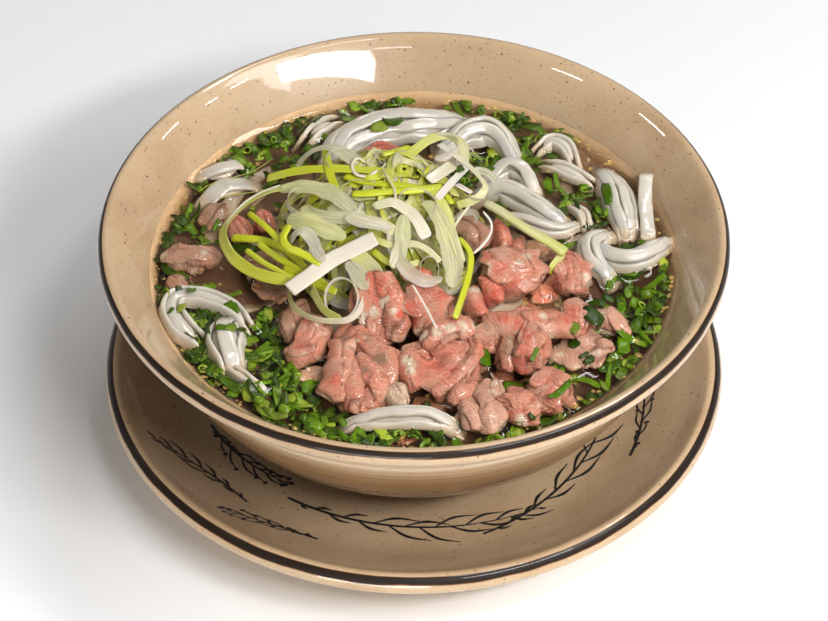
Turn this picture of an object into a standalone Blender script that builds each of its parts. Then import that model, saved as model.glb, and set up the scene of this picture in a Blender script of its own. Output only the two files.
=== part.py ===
"""Pho noodle soup: a stoneware bowl on its matching under-plate, filled with broth, rice noodles,
folded slices of rare beef and a heap of shredded scallion.

Millimetres in the tables below, metres in the meshes. Origin at the middle of the plate's foot, +Z up,
-Y towards the person who eats.
"""

import math

import bmesh
import bpy
from mathutils import Vector, noise

# ---------------------------------------------------------------- driving dimensions, in millimetres
MM = 0.001
SEGMENTS = 40
GAP = 0.3

RIM_Z = 85.3
BROTH_Z = 67.3
BROTH_RADIUS = 91.6
PLATE_RADIUS = 111.5
PLATE_HEIGHT = 25.0
BOWL_RADIUS = 110.0

# Turned outlines: radius, height. They start on the axis, run up the inside, over the lip and down
# the outside to the axis again; the bowl's heights are measured down from its rim.
BOWL_INSIDE = [(0, -67), (40, -65.5), (57, -60.5), (69.5, -53), (78, -43.5), (84, -34), (92, -18),
               (102.8, -4), (105, -1)]
BOWL_OUTSIDE = [(107.2, 0), (109, -1.2), (BOWL_RADIUS, -3.5), (108.2, -6.5), (100.5, -16), (91.5, -35),
                (77.5, -55), (66, -64), (52, -69.5), (48, -70), (46, -77), (41, -77), (40, -72), (0, -71)]
PLATE_INSIDE = [(0, 8), (78, 8), (90, 11.4), (102, 19.6), (105.6, 24)]
PLATE_OUTSIDE = [(107.8, PLATE_HEIGHT), (PLATE_RADIUS, 21.3), (110, 18.2), (104, 14.4), (96, 9.2), (84, 4.8),
                 (72, 3), (70, 0), (65, 0), (64, 3), (0, 3)]

# A run is one ribbon of food: how far its edges hang below its middle, and its stations, each x, y, z and
# half the width there. A piece is a thickness and the runs that it is folded from.
TO_BROTH = None
EDGE_Z = BROTH_Z - 1.2
CHANNEL_TOP_Z = BROTH_Z + 2.0
END_ROOM = 3.0
DEEPEST_SUNK_DROOP = 1.5

# Round a ribbon's section: degrees turned from its middle, and the side, from 1 for the top to -1 below.
MEAT_SECTION = ((-90, 0), (-50, 0.9), (0, 1), (50, 0.9), (90, 0), (50, -0.9), (-50, -0.9))
STRAND_SECTION = ((-90, 0), (-40, 0.9), (40, 0.9), (90, 0), (40, -0.9), (-40, -0.9))
MEAT_STEP = 7.5
NOODLE_STEP = 8.0
SCALLION_STEP = 7.0
END_THICKNESS = 0.6
TROUGH_SIDE_ROOM = 0.35
SMOOTH_UNDER_DEGREES = 50

BEEF = {
    "beef_curved": (3.0, [
        (TO_BROTH, [(-33.4, -33, 73, 2.4), (-33.8, -39, 74.2, 4.2), (-36.5, -44.6, 74, 4.3),
                    (-40, -47, 71.8, 3.4), (-44, -46, 69, 1.4)])]),
    "beef_crumple_left": (2.6, [
        (TO_BROTH, [(-37, -23.5, 71.5, 1.6), (-41, -28, 72, 2.3), (-42.8, -33, 71, 2.4),
                    (-41.8, -37.6, 70, 2), (-42, -41, 68.4, 1.2)])]),
    "beef_sunk_front": (2.4, [
        (1.0, [(-34.6, -51, 66.4, 2.4), (-33.6, -54.6, 67, 3.2), (-31.8, -59, 66.2, 1.8)])]),
    "beef_fan": (2.8, [
        (TO_BROTH, [(-15, -45.5, 69.4, 4), (-17, -55, 71, 8.4), (-18, -65, 70.8, 8.2),
                    (-19.4, -73.4, 68.4, 3.4)]),
        (3.4, [(-21.6, -36.6, 72.6, 1.8), (-23.5, -43.6, 74, 2.7), (-24.4, -52, 74.3, 3),
               (-25.4, -60, 74.3, 3.3), (-26, -66, 73, 3.6), (-24.6, -71, 70.4, 2.2)]),
        (3.2, [(-20, -54, 73, 1.6), (-20.4, -61.5, 73.4, 2.5), (-20, -68.5, 72.3, 2.6),
               (-20, -74.6, 68.6, 1.8)]),
        (3.2, [(-18.4, -51, 73.2, 1.6), (-14.6, -59, 74.2, 2.8), (-13.2, -66, 73.3, 3),
               (-16.4, -72, 69, 2)]),
        (3.6, [(-18.8, -37.5, 72.4, 1.6), (-18, -43, 73.5, 2.5), (-14.4, -48.5, 74, 3.2),
               (-9.8, -53.5, 74.5, 3.5), (-8.8, -59.6, 73.3, 3), (-10.8, -64, 70.6, 1.8)])]),
    "beef_upright": (2.8, [
        (0.8, [(-11, -21.5, 84, 1.5), (-13, -25, 80.8, 3.8), (-15, -29.5, 77, 5), (-15, -35, 73.8, 4)]),
        (3.4, [(-9.6, -21.5, 83.6, 1.5), (-7.8, -27, 80.5, 2.6), (-6.4, -32, 78, 2.9),
               (-6.2, -37, 75.6, 2.9),
               (-6.8, -42.2, 70.4, 1.8)]),
        (TO_BROTH, [(-13.4, -31.4, 76, 3.4), (-12.2, -36, 73, 4.2), (-11.2, -42.4, 68.4, 2.8)])]),
    "beef_flat_middle": (2.8, [
        (TO_BROTH, [(6.4, -23, 78.6, 5.4), (5.2, -29.4, 78.4, 7.8), (4.6, -35.6, 76.4, 7.2),
                    (2.8, -40.6, 71, 3.6)])]),
    "beef_cup": (3.0, [
        (-1.0, [(9, -44.5, 72.6, 8), (9.2, -52, 72.2, 10.6), (8.2, -59.4, 72, 9), (6, -66, 70, 3.8)]),
        (3.4, [(2, -47, 74.4, 1.6), (5, -46.4, 76.6, 2.6), (10, -42.4, 77.2, 2.6), (15.5, -40.4, 77.2, 2.6),
               (20.6, -42, 74.4, 1.6)]),
        (TO_BROTH, [(-0.8, -48.5, 73.6, 1.4), (-2.6, -54, 74.5, 1.9), (-1.4, -60, 74, 1.8),
                    (1.6, -65, 71, 1.4)]),
        (TO_BROTH, [(20, -43.6, 74, 1.4), (20.4, -50, 73.8, 2.1), (17.8, -56.8, 73.4, 2.3),
                    (12.6, -62.4, 72.4, 2.3),
                    (6, -66.6, 70, 1.8)])]),
    "beef_bean": (3.0, [
        (TO_BROTH, [(-7, -64, 71.6, 2), (-5.2, -67.6, 72, 2.9), (-3, -71.4, 69, 1.7)])]),
    "beef_under_curls": (2.6, [
        (1.6, [(-5, -17.5, 84, 1.6), (-2, -19, 83, 2.4), (2, -19.4, 81.5, 2.2), (6, -19.2, 79.5, 1.4)])]),
    "beef_dull_right": (2.8, [
        (3.0, [(16, 13, 77.5, 2), (19, 9, 78, 3.2), (23, 4.5, 77.5, 3.2), (24.6, 0.4, 74.4, 2)])]),
    "beef_ruffled": (2.4, [
        (TO_BROTH, [(29.4, 11.5, 77.6, 1.5), (30.6, 6.5, 78.4, 2.4), (31.2, 2, 78.2, 2.2),
                    (31.6, -1.2, 77, 1.5)])]),
    "beef_big_fold": (3.0, [
        (TO_BROTH, [(30.2, -3, 77.6, 6), (32.4, -7.6, 78.8, 9.6), (35.2, -13.4, 78.6, 9.2),
                    (38, -18.2, 76.8, 6.8),
                    (40.2, -21.8, 74.2, 4.4)])]),
    "beef_curl": (2.6, [
        (TO_BROTH, [(23.4, -16.2, 75.8, 1.4), (25.6, -19.6, 76.8, 2.4), (27.8, -23, 75.8, 2.6),
                    (29.6, -26, 73.8, 1.7)])]),
    "beef_hook": (2.6, [
        (TO_BROTH, [(20.8, -18.4, 73.4, 1.5), (19.8, -23.4, 75, 2.4), (22, -28.4, 73.6, 2.5),
                    (26.4, -31, 69.4, 1.6)])]),
    "beef_bit_back": (2.2, [
        (TO_BROTH, [(37.3, 6.5, 75, 1.2), (36.8, 2, 75, 1.7), (37.6, -1.4, 72, 1.6)])]),
    "beef_right": (2.8, [
        (TO_BROTH, [(49.6, 1.8, 71.4, 2.8), (53.6, -5.4, 73.6, 5.6), (55, -12, 73.4, 5.4),
                    (54.6, -18, 71, 3.8)])]),
    "beef_sunk_right": (2.6, [
        (0.8, [(44.6, -2, 66.4, 2), (45, -10, 66.4, 3), (44.8, -19, 66, 2.4)])]),
    "beef_arch": (3.0, [
        (4.0, [(23.6, -41, 74.4, 2.6), (29, -38.8, 76.6, 4.2), (37, -38.4, 78, 4.6), (45, -38.8, 77.4, 4.6),
               (56.4, -36.6, 74.6, 2.8)]),
        (TO_BROTH, [(28.6, -38.4, 75.6, 3), (25.6, -43, 74, 3.4), (26.6, -47, 69.6, 2)]),
        (TO_BROTH, [(41, -40.4, 78.2, 3.8), (39.8, -48, 78, 4.4), (38.6, -54, 76.2, 4.3),
                    (38.4, -57.4, 70, 3)]),
        (TO_BROTH, [(32.6, -43, 75, 1.5), (31.6, -50, 74, 2.1), (31.6, -55.6, 70, 1.4)]),
        (TO_BROTH, [(55, -24.4, 72.4, 3), (55.2, -30, 74.4, 4.5), (54.8, -35.6, 74.2, 4.4),
                    (54.2, -39.4, 70.6, 2.8)])]),
    "beef_ragged": (2.4, [
        (1.4, [(46.6, -46.6, 67.6, 2), (52, -46, 68.6, 4.4), (58, -44, 69.2, 6.2), (64, -42.6, 68.8, 5.2),
               (68.4, -41.6, 67.4, 2)])]),
    "beef_pale_right": (2.6, [
        (TO_BROTH, [(62, -28.5, 69.8, 1.8), (66, -30.2, 71.2, 3), (70, -32.4, 70, 3.2),
                    (74.6, -35, 67.8, 1.8)])]),
    "beef_folded_front": (2.8, [
        (TO_BROTH, [(34, -64.4, 70, 3.2), (35, -71, 73, 5.4), (35.8, -76.6, 72.6, 5.2),
                    (35.6, -81.4, 69, 2.8)]),
        (TO_BROTH, [(47.8, -57, 71, 3), (46.8, -63, 74.6, 5.6), (43.8, -69.4, 74.6, 5.6),
                    (41, -75.4, 71, 3.4)])]),
    "beef_crumpled_strips": (2.4, [
        (TO_BROTH, [(24, -66, 69.6, 3.8), (23.6, -74, 70.4, 6.4), (24.8, -81.6, 69, 4.4)]),
        (2.6, [(17.2, -71, 70.2, 1.4), (19, -76, 72, 2), (20.8, -82.6, 69, 1.5)]),
        (2.8, [(24.8, -61.6, 70.6, 1.4), (23.6, -68.6, 73.4, 1.9), (24.8, -76.5, 72.8, 2.1),
               (26, -83.6, 69, 1.5)]),
        (2.4, [(27.6, -62.6, 72, 1.2), (26.6, -70.6, 71.8, 1.6), (27.4, -77, 71.6, 1.7),
               (27, -82, 69, 1.3)])]),
    "beef_wedge": (2.6, [
        (TO_BROTH, [(11.2, -69.8, 69.6, 1.4), (14.6, -68.6, 73, 2.4), (19.2, -64.6, 72.2, 1.9),
                    (20.6, -61.4, 69.6, 1.1)])]),
    "beef_left": (3.0, [
        (TO_BROTH, [(-88.6, 1.5, 68.4, 1.8), (-84, 2, 70.6, 4.8), (-78, 1.6, 71, 3.2),
                    (-72, 1.6, 70.4, 3.2),
                    (-68.4, 0.8, 68.4, 2)])]),
    "beef_left_bit": (2.4, [
        (TO_BROTH, [(-84, -7, 68.4, 1.6), (-82.6, -10.4, 69.6, 2.5), (-79.2, -12.6, 68.2, 1.5)])]),
    "beef_red_lump": (2.8, [
        (TO_BROTH, [(-54.8, 22, 71.6, 1.6), (-53, 18, 74, 3), (-50.6, 13.4, 70.6, 1.9)])]),
    "beef_pink_lumps": (2.8, [
        (TO_BROTH, [(-66, 21.6, 70.4, 1.7), (-62.8, 16.6, 72, 3), (-58.8, 12, 69.8, 2)])]),
    "beef_mauve": (2.4, [
        (1.0, [(-67.6, 30.5, 67.8, 1.4), (-71, 25.5, 68, 3), (-75.6, 20, 66.6, 2.4)])]),
    "beef_grey": (2.6, [
        (TO_BROTH, [(-59.4, 1.5, 68.6, 1.8), (-54, -1.4, 70.4, 3.2), (-48, -4.4, 70.6, 3),
                    (-44.4, -6.4, 69, 1.8)])]),
    "beef_brown": (2.4, [
        (0.8, [(-56, -10, 67, 1.8), (-49, -14, 67.7, 3.2), (-43.6, -17.4, 67.2, 2)])]),
    "beef_back": (2.6, [
        (3.0, [(-20, 52, 72, 1.6), (-14, 55, 73.4, 2.4), (-8, 54.6, 73.4, 2.4), (-2, 53, 72, 1.6)])]),
}

NOODLES = {
    "noodles_back": (4.4, [
        (TO_BROTH, [(-29, 54, 69.6, 4), (-26, 61, 72.6, 5.8), (-17.6, 67.4, 74.4, 6.8),
                    (-7, 70.8, 75.2, 7.4),
                    (3, 71.2, 75, 6.8), (10.4, 73.4, 73, 4.2), (14.4, 76, 70, 2.4)])]),
    "noodles_back_lump": (3.6, [
        (TO_BROTH, [(-38, 68.5, 68.6, 2), (-34.6, 72.6, 70, 2.6), (-30.4, 76.8, 69, 2)])]),
    "noodles_back_right": (4.2, [
        (TO_BROTH, [(13, 61, 70.6, 2.6), (18.8, 66, 74, 4.2), (26, 68.4, 74.6, 4.8), (32, 64.6, 72.8, 3.4),
                    (35.6, 57.6, 69.2, 2)])]),
    "noodles_ring": (3.2, [
        (TO_BROTH, [(28.4, 45, 69.8, 1.8), (34, 48.4, 72.6, 2.4), (39.6, 45.6, 72.6, 2.4),
                    (42.6, 39.6, 69, 1.7)])]),
    "noodles_wide": (3.4, [
        (TO_BROTH, [(25.6, 36.5, 70.4, 2.2), (32, 36.4, 72.8, 3.8), (39, 31.8, 72.8, 4), (46, 26, 72, 3.5),
                    (51.2, 22.6, 69.4, 2)])]),
    "noodles_thin": (2.8, [
        (TO_BROTH, [(34.4, 23.4, 69.6, 1.3), (39.6, 20, 71.4, 1.9), (46.4, 16.6, 71.4, 2),
                    (52.4, 16.4, 70.2, 1.8),
                    (56.4, 19.6, 68.6, 1.3)])]),
    "noodle_far_right": (3.0, [
        (TO_BROTH, [(47, 62.6, 69, 1.6), (51, 65.2, 70.6, 2.3), (55.6, 61.6, 70.8, 2.4),
                    (57.8, 54.6, 69, 1.7)])]),
    "noodle_mid_right": (3.0, [
        (TO_BROTH, [(49.4, 52.6, 69, 1.6), (54, 49.6, 70.4, 2.4), (59, 45.8, 70.4, 2.4),
                    (63, 43.4, 68.8, 1.6)])]),
    "noodles_comb": (3.2, [
        (TO_BROTH, [(68.6, 47.4, 68.6, 2.4), (71.8, 39.4, 70, 5), (74.2, 29, 70, 5.2),
                    (75.6, 19.4, 68.8, 3.6)])]),
    "noodle_edge": (2.8, [
        (1.2, [(83.4, 39.6, 73.6, 1.3), (82.8, 34.6, 71.6, 1.8), (82.6, 28, 69.8, 1.9), (82.8, 21, 69, 1.9),
               (83, 15, 67.8, 1.3)])]),
    "noodles_fold": (3.4, [
        (TO_BROTH, [(66, 13.8, 69.2, 3), (62.6, 8, 71.4, 4.2), (63, 0.6, 71.4, 4.2),
                    (67, -5.6, 68.8, 2.4)]),
        (TO_BROTH, [(66, 5, 70.8, 2), (71, 0.4, 72, 3.1), (77.4, -0.4, 72.4, 3.1), (84, 4.4, 72, 2.9),
                    (88, 9.6, 69.4, 1.8)])]),
    "noodle_small_right": (2.6, [
        (TO_BROTH, [(57, 29.6, 68.6, 1.2), (60, 26, 69.6, 1.8), (61.4, 20.4, 68.6, 1.3)])]),
    "noodles_left_loop": (3.4, [
        (TO_BROTH, [(-58, -30.6, 69, 1.6), (-62, -25.4, 71, 2.4), (-68, -21, 71.8, 2.7),
                    (-75, -18.2, 72, 2.7),
                    (-81.4, -18.4, 71.8, 2.8), (-83.8, -23.4, 71.6, 3), (-82, -29.6, 71.4, 3.6),
                    (-78.6, -34.6, 70.6, 3.8), (-74, -38.8, 68.8, 2.7)])]),
    "noodles_left_bundle": (4.0, [
        (TO_BROTH, [(-64.4, -32.4, 70, 3), (-64.6, -36.6, 72.4, 5.2), (-64, -43, 72, 5.2),
                    (-62, -49, 69, 3.4)])]),
    "noodle_left_tail": (2.4, [
        (TO_BROTH, [(-61.4, -53, 68.6, 1.2), (-58, -56.2, 69, 1.7), (-54, -59.4, 68, 1.2)])]),
    "noodles_front": (3.2, [
        (TO_BROTH, [(-20, -78, 68.6, 1.6), (-12, -76.6, 71, 3), (-3, -76, 71.8, 3.7), (5, -76.6, 71.4, 3.6),
                    (11.4, -78.4, 69, 2.2)])]),
    "noodles_back_left": (3.4, [
        (TO_BROTH, [(-76, 46.6, 68.2, 2), (-70.4, 48, 69.8, 3.8), (-64.6, 51.6, 68.6, 2.2)])]),
    "noodles_left_back": (3.4, [
        (TO_BROTH, [(-74, 33.6, 68, 2.2), (-68.6, 38.6, 69.8, 3.8), (-61, 40.8, 69, 2.6)])]),
}

SCALLION = {
    "scallion_loop": (1.1, [
        (0.2, [(-45, 26, 81.4, 2.2), (-52, 24.6, 79.6, 2.2), (-60, 20.6, 77.4, 2.2), (-66, 14.4, 75.8, 2.1),
               (-68, 7, 74.6, 2.1), (-66, -1, 74, 2.1), (-60, -8.6, 74, 2.1), (-51.6, -13.6, 74.2, 2.1),
               (-45, -16.6, 74.8, 2)])]),
    "scallion_white_strip": (1.3, [
        (0.3, [(-43, -21, 77.4, 2.9), (-35, -16.4, 81, 2.8), (-27, -12.4, 84, 2.7),
               (-19, -9.6, 86.6, 2.4)])]),
    "scallion_right_strip": (1.3, [
        (0.2, [(17.6, -7.6, 83, 1.1), (18.8, -13.6, 82, 1.3), (18, -21, 81.4, 1.3), (16, -29, 81.4, 1.3),
               (14, -37, 81.2, 1.1)])]),
    "scallion_low_loop": (1.1, [
        (0.2, [(-41.4, -27.6, 76.6, 0.9), (-39, -34.6, 77.4, 1.1), (-33.4, -39, 78, 1.1),
               (-27, -39.6, 77.8, 1.1), (-22, -35.6, 78.2, 1.1), (-20, -28, 79, 0.9)])]),
    "scallion_stalk": (3.4, [
        (1.6, [(26.4, 17.4, 81.2, 1.8), (32, 13.4, 81.6, 2.5), (38, 9, 80.8, 2.7), (44, 4.8, 79.6, 2.7),
               (49.6, 0.6, 78.2, 2.4), (50.6, -3.6, 77, 1.6)])]),
}

# The heap of shredded scallion: the reach of its outline from the middle, every 30 degrees from +X.
HEAP_MIDDLE = (-12.0, 12.0)
HEAP_REACH = (31, 37, 38, 38, 38, 34, 33, 34, 31, 29, 28, 28)
HEAP_BASE_Z = 68.0
HEAP_TOP_Z = 93.0
HEAP_LEAN = (4.0, 12.0)
HEAP_RINGS = 9
HEAP_SPOKES = 30
HEAP_LUMP = 9.0
HEAP_RELIEF = 6.0
HEAP_EDGE_Z = HEAP_BASE_Z + 1.6
HEAP_DOME_POWERS = (2.6, 0.8)
HEAP_LUMPS_FADE = 6
HEAP_LUMPS_LEVEL = 0.35
HEAP_SKIRT = 0.98
HEAP_LOBES = ((7, 0.05), (11, 0.03))

# What lies higher stays whole, and what is named first here is cut clear of it.
CLEARANCES = {
    "scallion_heap": ("beef_upright", "beef_under_curls", "beef_dull_right", "beef_red_lump", "beef_back",
                      "scallion_loop", "scallion_white_strip", "scallion_right_strip", "scallion_stalk"),
}


def material(name, colour, roughness, transmission=0.0):
    """A Principled material of one finish."""
    made = bpy.data.materials.new(name)
    made.use_nodes = True
    shader = made.node_tree.nodes["Principled BSDF"]
    shader.inputs["Base Color"].default_value = (*colour, 1.0)
    shader.inputs["Roughness"].default_value = roughness
    shader.inputs["Transmission Weight"].default_value = transmission
    made.diffuse_color = (*colour, 1.0)
    return made


def make_object(name, vertices, faces, finish=None):
    """A closed mesh object with its faces pointing out."""
    mesh = bpy.data.meshes.new(name)
    mesh.from_pydata([tuple(MM * c for c in v) for v in vertices], [], faces)
    shape = bmesh.new()
    shape.from_mesh(mesh)
    bmesh.ops.recalc_face_normals(shape, faces=shape.faces)
    shape.to_mesh(mesh)
    shape.free()
    made = bpy.data.objects.new(name, mesh)
    bpy.context.scene.collection.objects.link(made)
    if finish is None:
        made.hide_render = True
        made.display_type = "WIRE"
    else:
        mesh.materials.append(finish)
        mesh.shade_smooth()
        mesh.set_sharp_from_angle(angle=math.radians(SMOOTH_UNDER_DEGREES))
    return made


def turned(name, outline, finish):
    """A solid turned from an outline that starts and ends on the axis."""
    vertices = [(0, 0, outline[0][1])]
    faces = []
    for radius, height in outline[1:-1]:
        for step in range(SEGMENTS):
            angle = math.tau * step / SEGMENTS
            vertices.append((radius * math.cos(angle), radius * math.sin(angle), height))
    vertices.append((0, 0, outline[-1][1]))
    last = len(vertices) - 1
    rings = len(outline) - 2
    for step in range(SEGMENTS):
        after = (step + 1) % SEGMENTS
        faces.append((0, 1 + step, 1 + after))
        for ring in range(rings - 1):
            low = 1 + ring * SEGMENTS
            high = low + SEGMENTS
            faces.append((low + step, high + step, high + after, low + after))
        low = 1 + (rings - 1) * SEGMENTS
        faces.append((last, low + after, low + step))
    return make_object(name, vertices, faces, finish)


def along(stations, spacing):
    """Stations read at even steps from a smooth curve through the given ones."""
    points = [Vector(s) for s in stations]
    points = [2 * points[0] - points[1]] + points + [2 * points[-1] - points[-2]]
    reach = sum((points[i + 1].to_3d() - points[i].to_3d()).length for i in range(1, len(points) - 2))
    steps = max(len(stations), round(reach / spacing) + 1)
    found = []
    for step in range(steps):
        place = step / (steps - 1) * (len(stations) - 1)
        first = min(int(place), len(stations) - 2)
        t = place - first
        a, b, c, d = points[first:first + 4]
        found.append(0.5 * (2 * b + (c - a) * t + (2 * a - 5 * b + 4 * c - d) * t * t
                            + (3 * b - a - 3 * c + d) * t ** 3))
    return found


def sleeve_faces(rings, around):
    """Faces of a tube of rings, with both ends filled."""
    last = (rings - 1) * around
    faces = [tuple(range(around)), tuple(reversed(range(last, last + around)))]
    for ring in range(rings - 1):
        for step in range(around):
            low = ring * around + step
            low_after = ring * around + (step + 1) % around
            faces.append((low, low + around, low_after + around, low_after))
    return faces


def ribbon(stations, thickness, droop, section, spacing, grow=0.0):
    """Vertices and faces of a rounded ribbon whose edges hang below its middle, from end to end."""
    read = along(stations, spacing)
    vertices = []
    for index, station in enumerate(read):
        here = station.to_3d()
        ahead = read[min(index + 1, len(read) - 1)].to_3d() - read[max(index - 1, 0)].to_3d()
        ahead.normalize()
        up = (Vector((0, 0, 1)) - ahead * ahead.z).normalized()
        side = ahead.cross(up)
        if index in (0, len(read) - 1):
            here = here + ahead * (grow if index else -grow)
        half = station[3]
        hang = here.z - EDGE_Z if droop is TO_BROTH else droop
        thick = thickness * (END_THICKNESS if index in (0, len(read) - 1) else 1.0) + 2 * grow
        for degrees, depth in section:
            turn = math.radians(degrees)
            middle = side * (half * math.sin(turn)) - up * (hang * (1 - math.cos(turn)))
            outward = (up * (half * math.cos(turn)) + side * (hang * math.sin(turn))).normalized()
            rim = (side * (half * math.cos(turn)) - up * (hang * math.sin(turn))).normalized()
            vertices.append(here + middle + outward * (thick / 2 * depth) + rim * (grow * math.sin(turn)))
    return vertices, sleeve_faces(len(read), len(section))


def channel(stations, thickness, droop, spacing):
    """Vertices and faces of the trough that a run leaves in the broth round its lower part."""
    read = along(stations, spacing)
    floor_z = min([EDGE_Z] + [s[2] - (droop or 0) - thickness / 2 for s in stations]) - 2 * GAP
    vertices = []
    for index, station in enumerate(read):
        ahead = (read[min(index + 1, len(read) - 1)] - read[max(index - 1, 0)]).to_3d()
        ahead = Vector((ahead.x, ahead.y, 0)).normalized()
        side = Vector((ahead.y, -ahead.x, 0))
        middle = Vector((station[0], station[1], 0))
        if index in (0, len(read) - 1):
            middle += ahead * (END_ROOM if index else -END_ROOM)
        reach = side * (station[3] + TROUGH_SIDE_ROOM * thickness + GAP)
        for corner, height in ((reach, CHANNEL_TOP_Z), (-reach, CHANNEL_TOP_Z),
                               (-reach, floor_z), (reach, floor_z)):
            vertices.append(middle + corner + Vector((0, 0, height)))
    return vertices, sleeve_faces(len(read), 4)


def add_boolean(target, operation, shapes, label, solver="EXACT"):
    """A Boolean modifier that joins or cuts with every object in a collection."""
    group = bpy.data.collections.new(label)
    for shape in shapes:
        group.objects.link(shape)
    modifier = target.modifiers.new(label, "BOOLEAN")
    modifier.operation = operation
    modifier.solver = solver
    modifier.operand_type = "COLLECTION"
    modifier.collection = group
    return modifier


def folded(name, piece, finish, section, spacing):
    """A piece of food joined from its runs, the room its neighbours leave it, and its troughs in the broth."""
    thickness, runs = piece
    made = None
    joined = []
    room = []
    troughs = []
    for number, (droop, stations) in enumerate(runs):
        vertices, faces = ribbon(stations, thickness, droop, section, spacing)
        if made is None:
            made = make_object(name, vertices, faces, finish)
        else:
            joined.append(make_object(f"{name}_fold_{number}", vertices, faces))
        vertices, faces = ribbon(stations, thickness, droop, section, spacing, grow=GAP)
        room.append(make_object(f"{name}_room_{number}", vertices, faces))
        if droop is TO_BROTH or droop < DEEPEST_SUNK_DROOP:
            vertices, faces = channel(stations, thickness, droop, spacing)
            troughs.append(make_object(f"{name}_trough_{number}", vertices, faces))
    if joined:
        add_boolean(made, "UNION", joined, f"{name}_folds")
    return made, room, troughs


def reach_at(angle):
    """How far the heap reaches from its middle in a direction."""
    place = angle / math.tau * len(HEAP_REACH)
    first = int(place) % len(HEAP_REACH)
    t = place - int(place)
    t = t * t * (3 - 2 * t)
    return HEAP_REACH[first] * (1 - t) + HEAP_REACH[(first + 1) % len(HEAP_REACH)] * t


def heap(name, finish):
    """A lumpy mound on a flat underside, higher towards the back."""
    vertices = []
    for ring in range(1, HEAP_RINGS + 1):
        part = ring / HEAP_RINGS
        for spoke in range(HEAP_SPOKES):
            angle = math.tau * spoke / HEAP_SPOKES
            waves = sum(height * math.sin(count * angle) for count, height in HEAP_LOBES)
            reach = reach_at(angle) * part * (1 + waves)
            x = HEAP_MIDDLE[0] + reach * math.cos(angle) + HEAP_LEAN[0] * (1 - part)
            y = HEAP_MIDDLE[1] + reach * math.sin(angle) + HEAP_LEAN[1] * (1 - part)
            ridge = 0.5 - abs(noise.noise(Vector((x, y, 7)) / HEAP_LUMP))
            lumps = HEAP_RELIEF * (ridge - HEAP_LUMPS_LEVEL) * (1 - part ** HEAP_LUMPS_FADE)
            dome = (1 - part ** HEAP_DOME_POWERS[0]) ** HEAP_DOME_POWERS[1]
            z = HEAP_EDGE_Z + (HEAP_TOP_Z - HEAP_EDGE_Z) * dome + lumps
            vertices.append((x, y, z))
    skirt = vertices[-HEAP_SPOKES:]
    vertices += [(HEAP_MIDDLE[0] + (x - HEAP_MIDDLE[0]) * HEAP_SKIRT,
                  HEAP_MIDDLE[1] + (y - HEAP_MIDDLE[1]) * HEAP_SKIRT, HEAP_BASE_Z) for x, y, _ in skirt]
    top = len(vertices)
    vertices.append((HEAP_MIDDLE[0] + HEAP_LEAN[0], HEAP_MIDDLE[1] + HEAP_LEAN[1], HEAP_TOP_Z))
    faces = []
    for spoke in range(HEAP_SPOKES):
        after = (spoke + 1) % HEAP_SPOKES
        faces.append((top, spoke, after))
        for ring in range(HEAP_RINGS):
            low = ring * HEAP_SPOKES
            faces.append((low + spoke, low + HEAP_SPOKES + spoke, low + HEAP_SPOKES + after, low + after))
    faces.append(tuple(reversed(range(HEAP_RINGS * HEAP_SPOKES, top))))
    return make_object(name, vertices, faces, finish)


def main():
    for old in list(bpy.data.objects):
        bpy.data.objects.remove(old)

    stoneware = material("stoneware", (0.60, 0.40, 0.22), 0.25)
    soup = material("broth", (0.16, 0.08, 0.03), 0.05, 0.6)
    meat = material("beef", (0.74, 0.30, 0.21), 0.35)
    rice_noodle = material("rice_noodle", (0.80, 0.76, 0.70), 0.2)
    shreds = material("scallion", (0.60, 0.68, 0.12), 0.35)

    turned("plate", PLATE_INSIDE + PLATE_OUTSIDE, stoneware)
    bowl_outline = [(radius, RIM_Z + depth) for radius, depth in BOWL_INSIDE + BOWL_OUTSIDE]
    turned("bowl", bowl_outline, stoneware)

    rooms = {}
    solids = {}
    troughs = []
    for kind, finish, section, spacing in ((BEEF, meat, MEAT_SECTION, MEAT_STEP),
                                           (NOODLES, rice_noodle, STRAND_SECTION, NOODLE_STEP),
                                           (SCALLION, shreds, STRAND_SECTION, SCALLION_STEP)):
        for name, piece in kind.items():
            solids[name], rooms[name], sunk = folded(name, piece, finish, section, spacing)
            troughs += sunk
    solids["scallion_heap"] = heap("scallion_heap", shreds)

    for name, others in CLEARANCES.items():
        shapes = [shape for other in others for shape in rooms[other]]
        add_boolean(solids[name], "DIFFERENCE", shapes, f"{name}_clearance")

    below = [(radius, RIM_Z + depth) for radius, depth in BOWL_INSIDE[1:] if RIM_Z + depth < BROTH_Z - 1]
    wall = [(0, RIM_Z + BOWL_INSIDE[0][1] + GAP)] + [(radius - GAP, height + GAP) for radius, height in below]
    broth = turned("broth", wall + [(BROTH_RADIUS, BROTH_Z), (0, BROTH_Z)], soup)
    add_boolean(broth, "DIFFERENCE", troughs, "broth_round_the_food", "MANIFOLD")


main()
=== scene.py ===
"""Looks of a bowl of pho noodle soup on its under-plate: glazed stoneware, clear brown broth, rice
noodles, folded rare beef, curled shreds of scallion and chopped herbs.

Sizes and routes are in millimetres from the middle of the plate's foot, +Z up, -Y towards the
person who eats.
"""

from __future__ import annotations

import logging
import math
import random
from collections.abc import Callable, Iterable, Sequence
from dataclasses import dataclass, replace
from enum import Enum

import bmesh
import bpy
import numpy as np
from mathutils import Matrix, Quaternion, Vector, kdtree, noise
from mathutils.bvhtree import BVHTree

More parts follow.
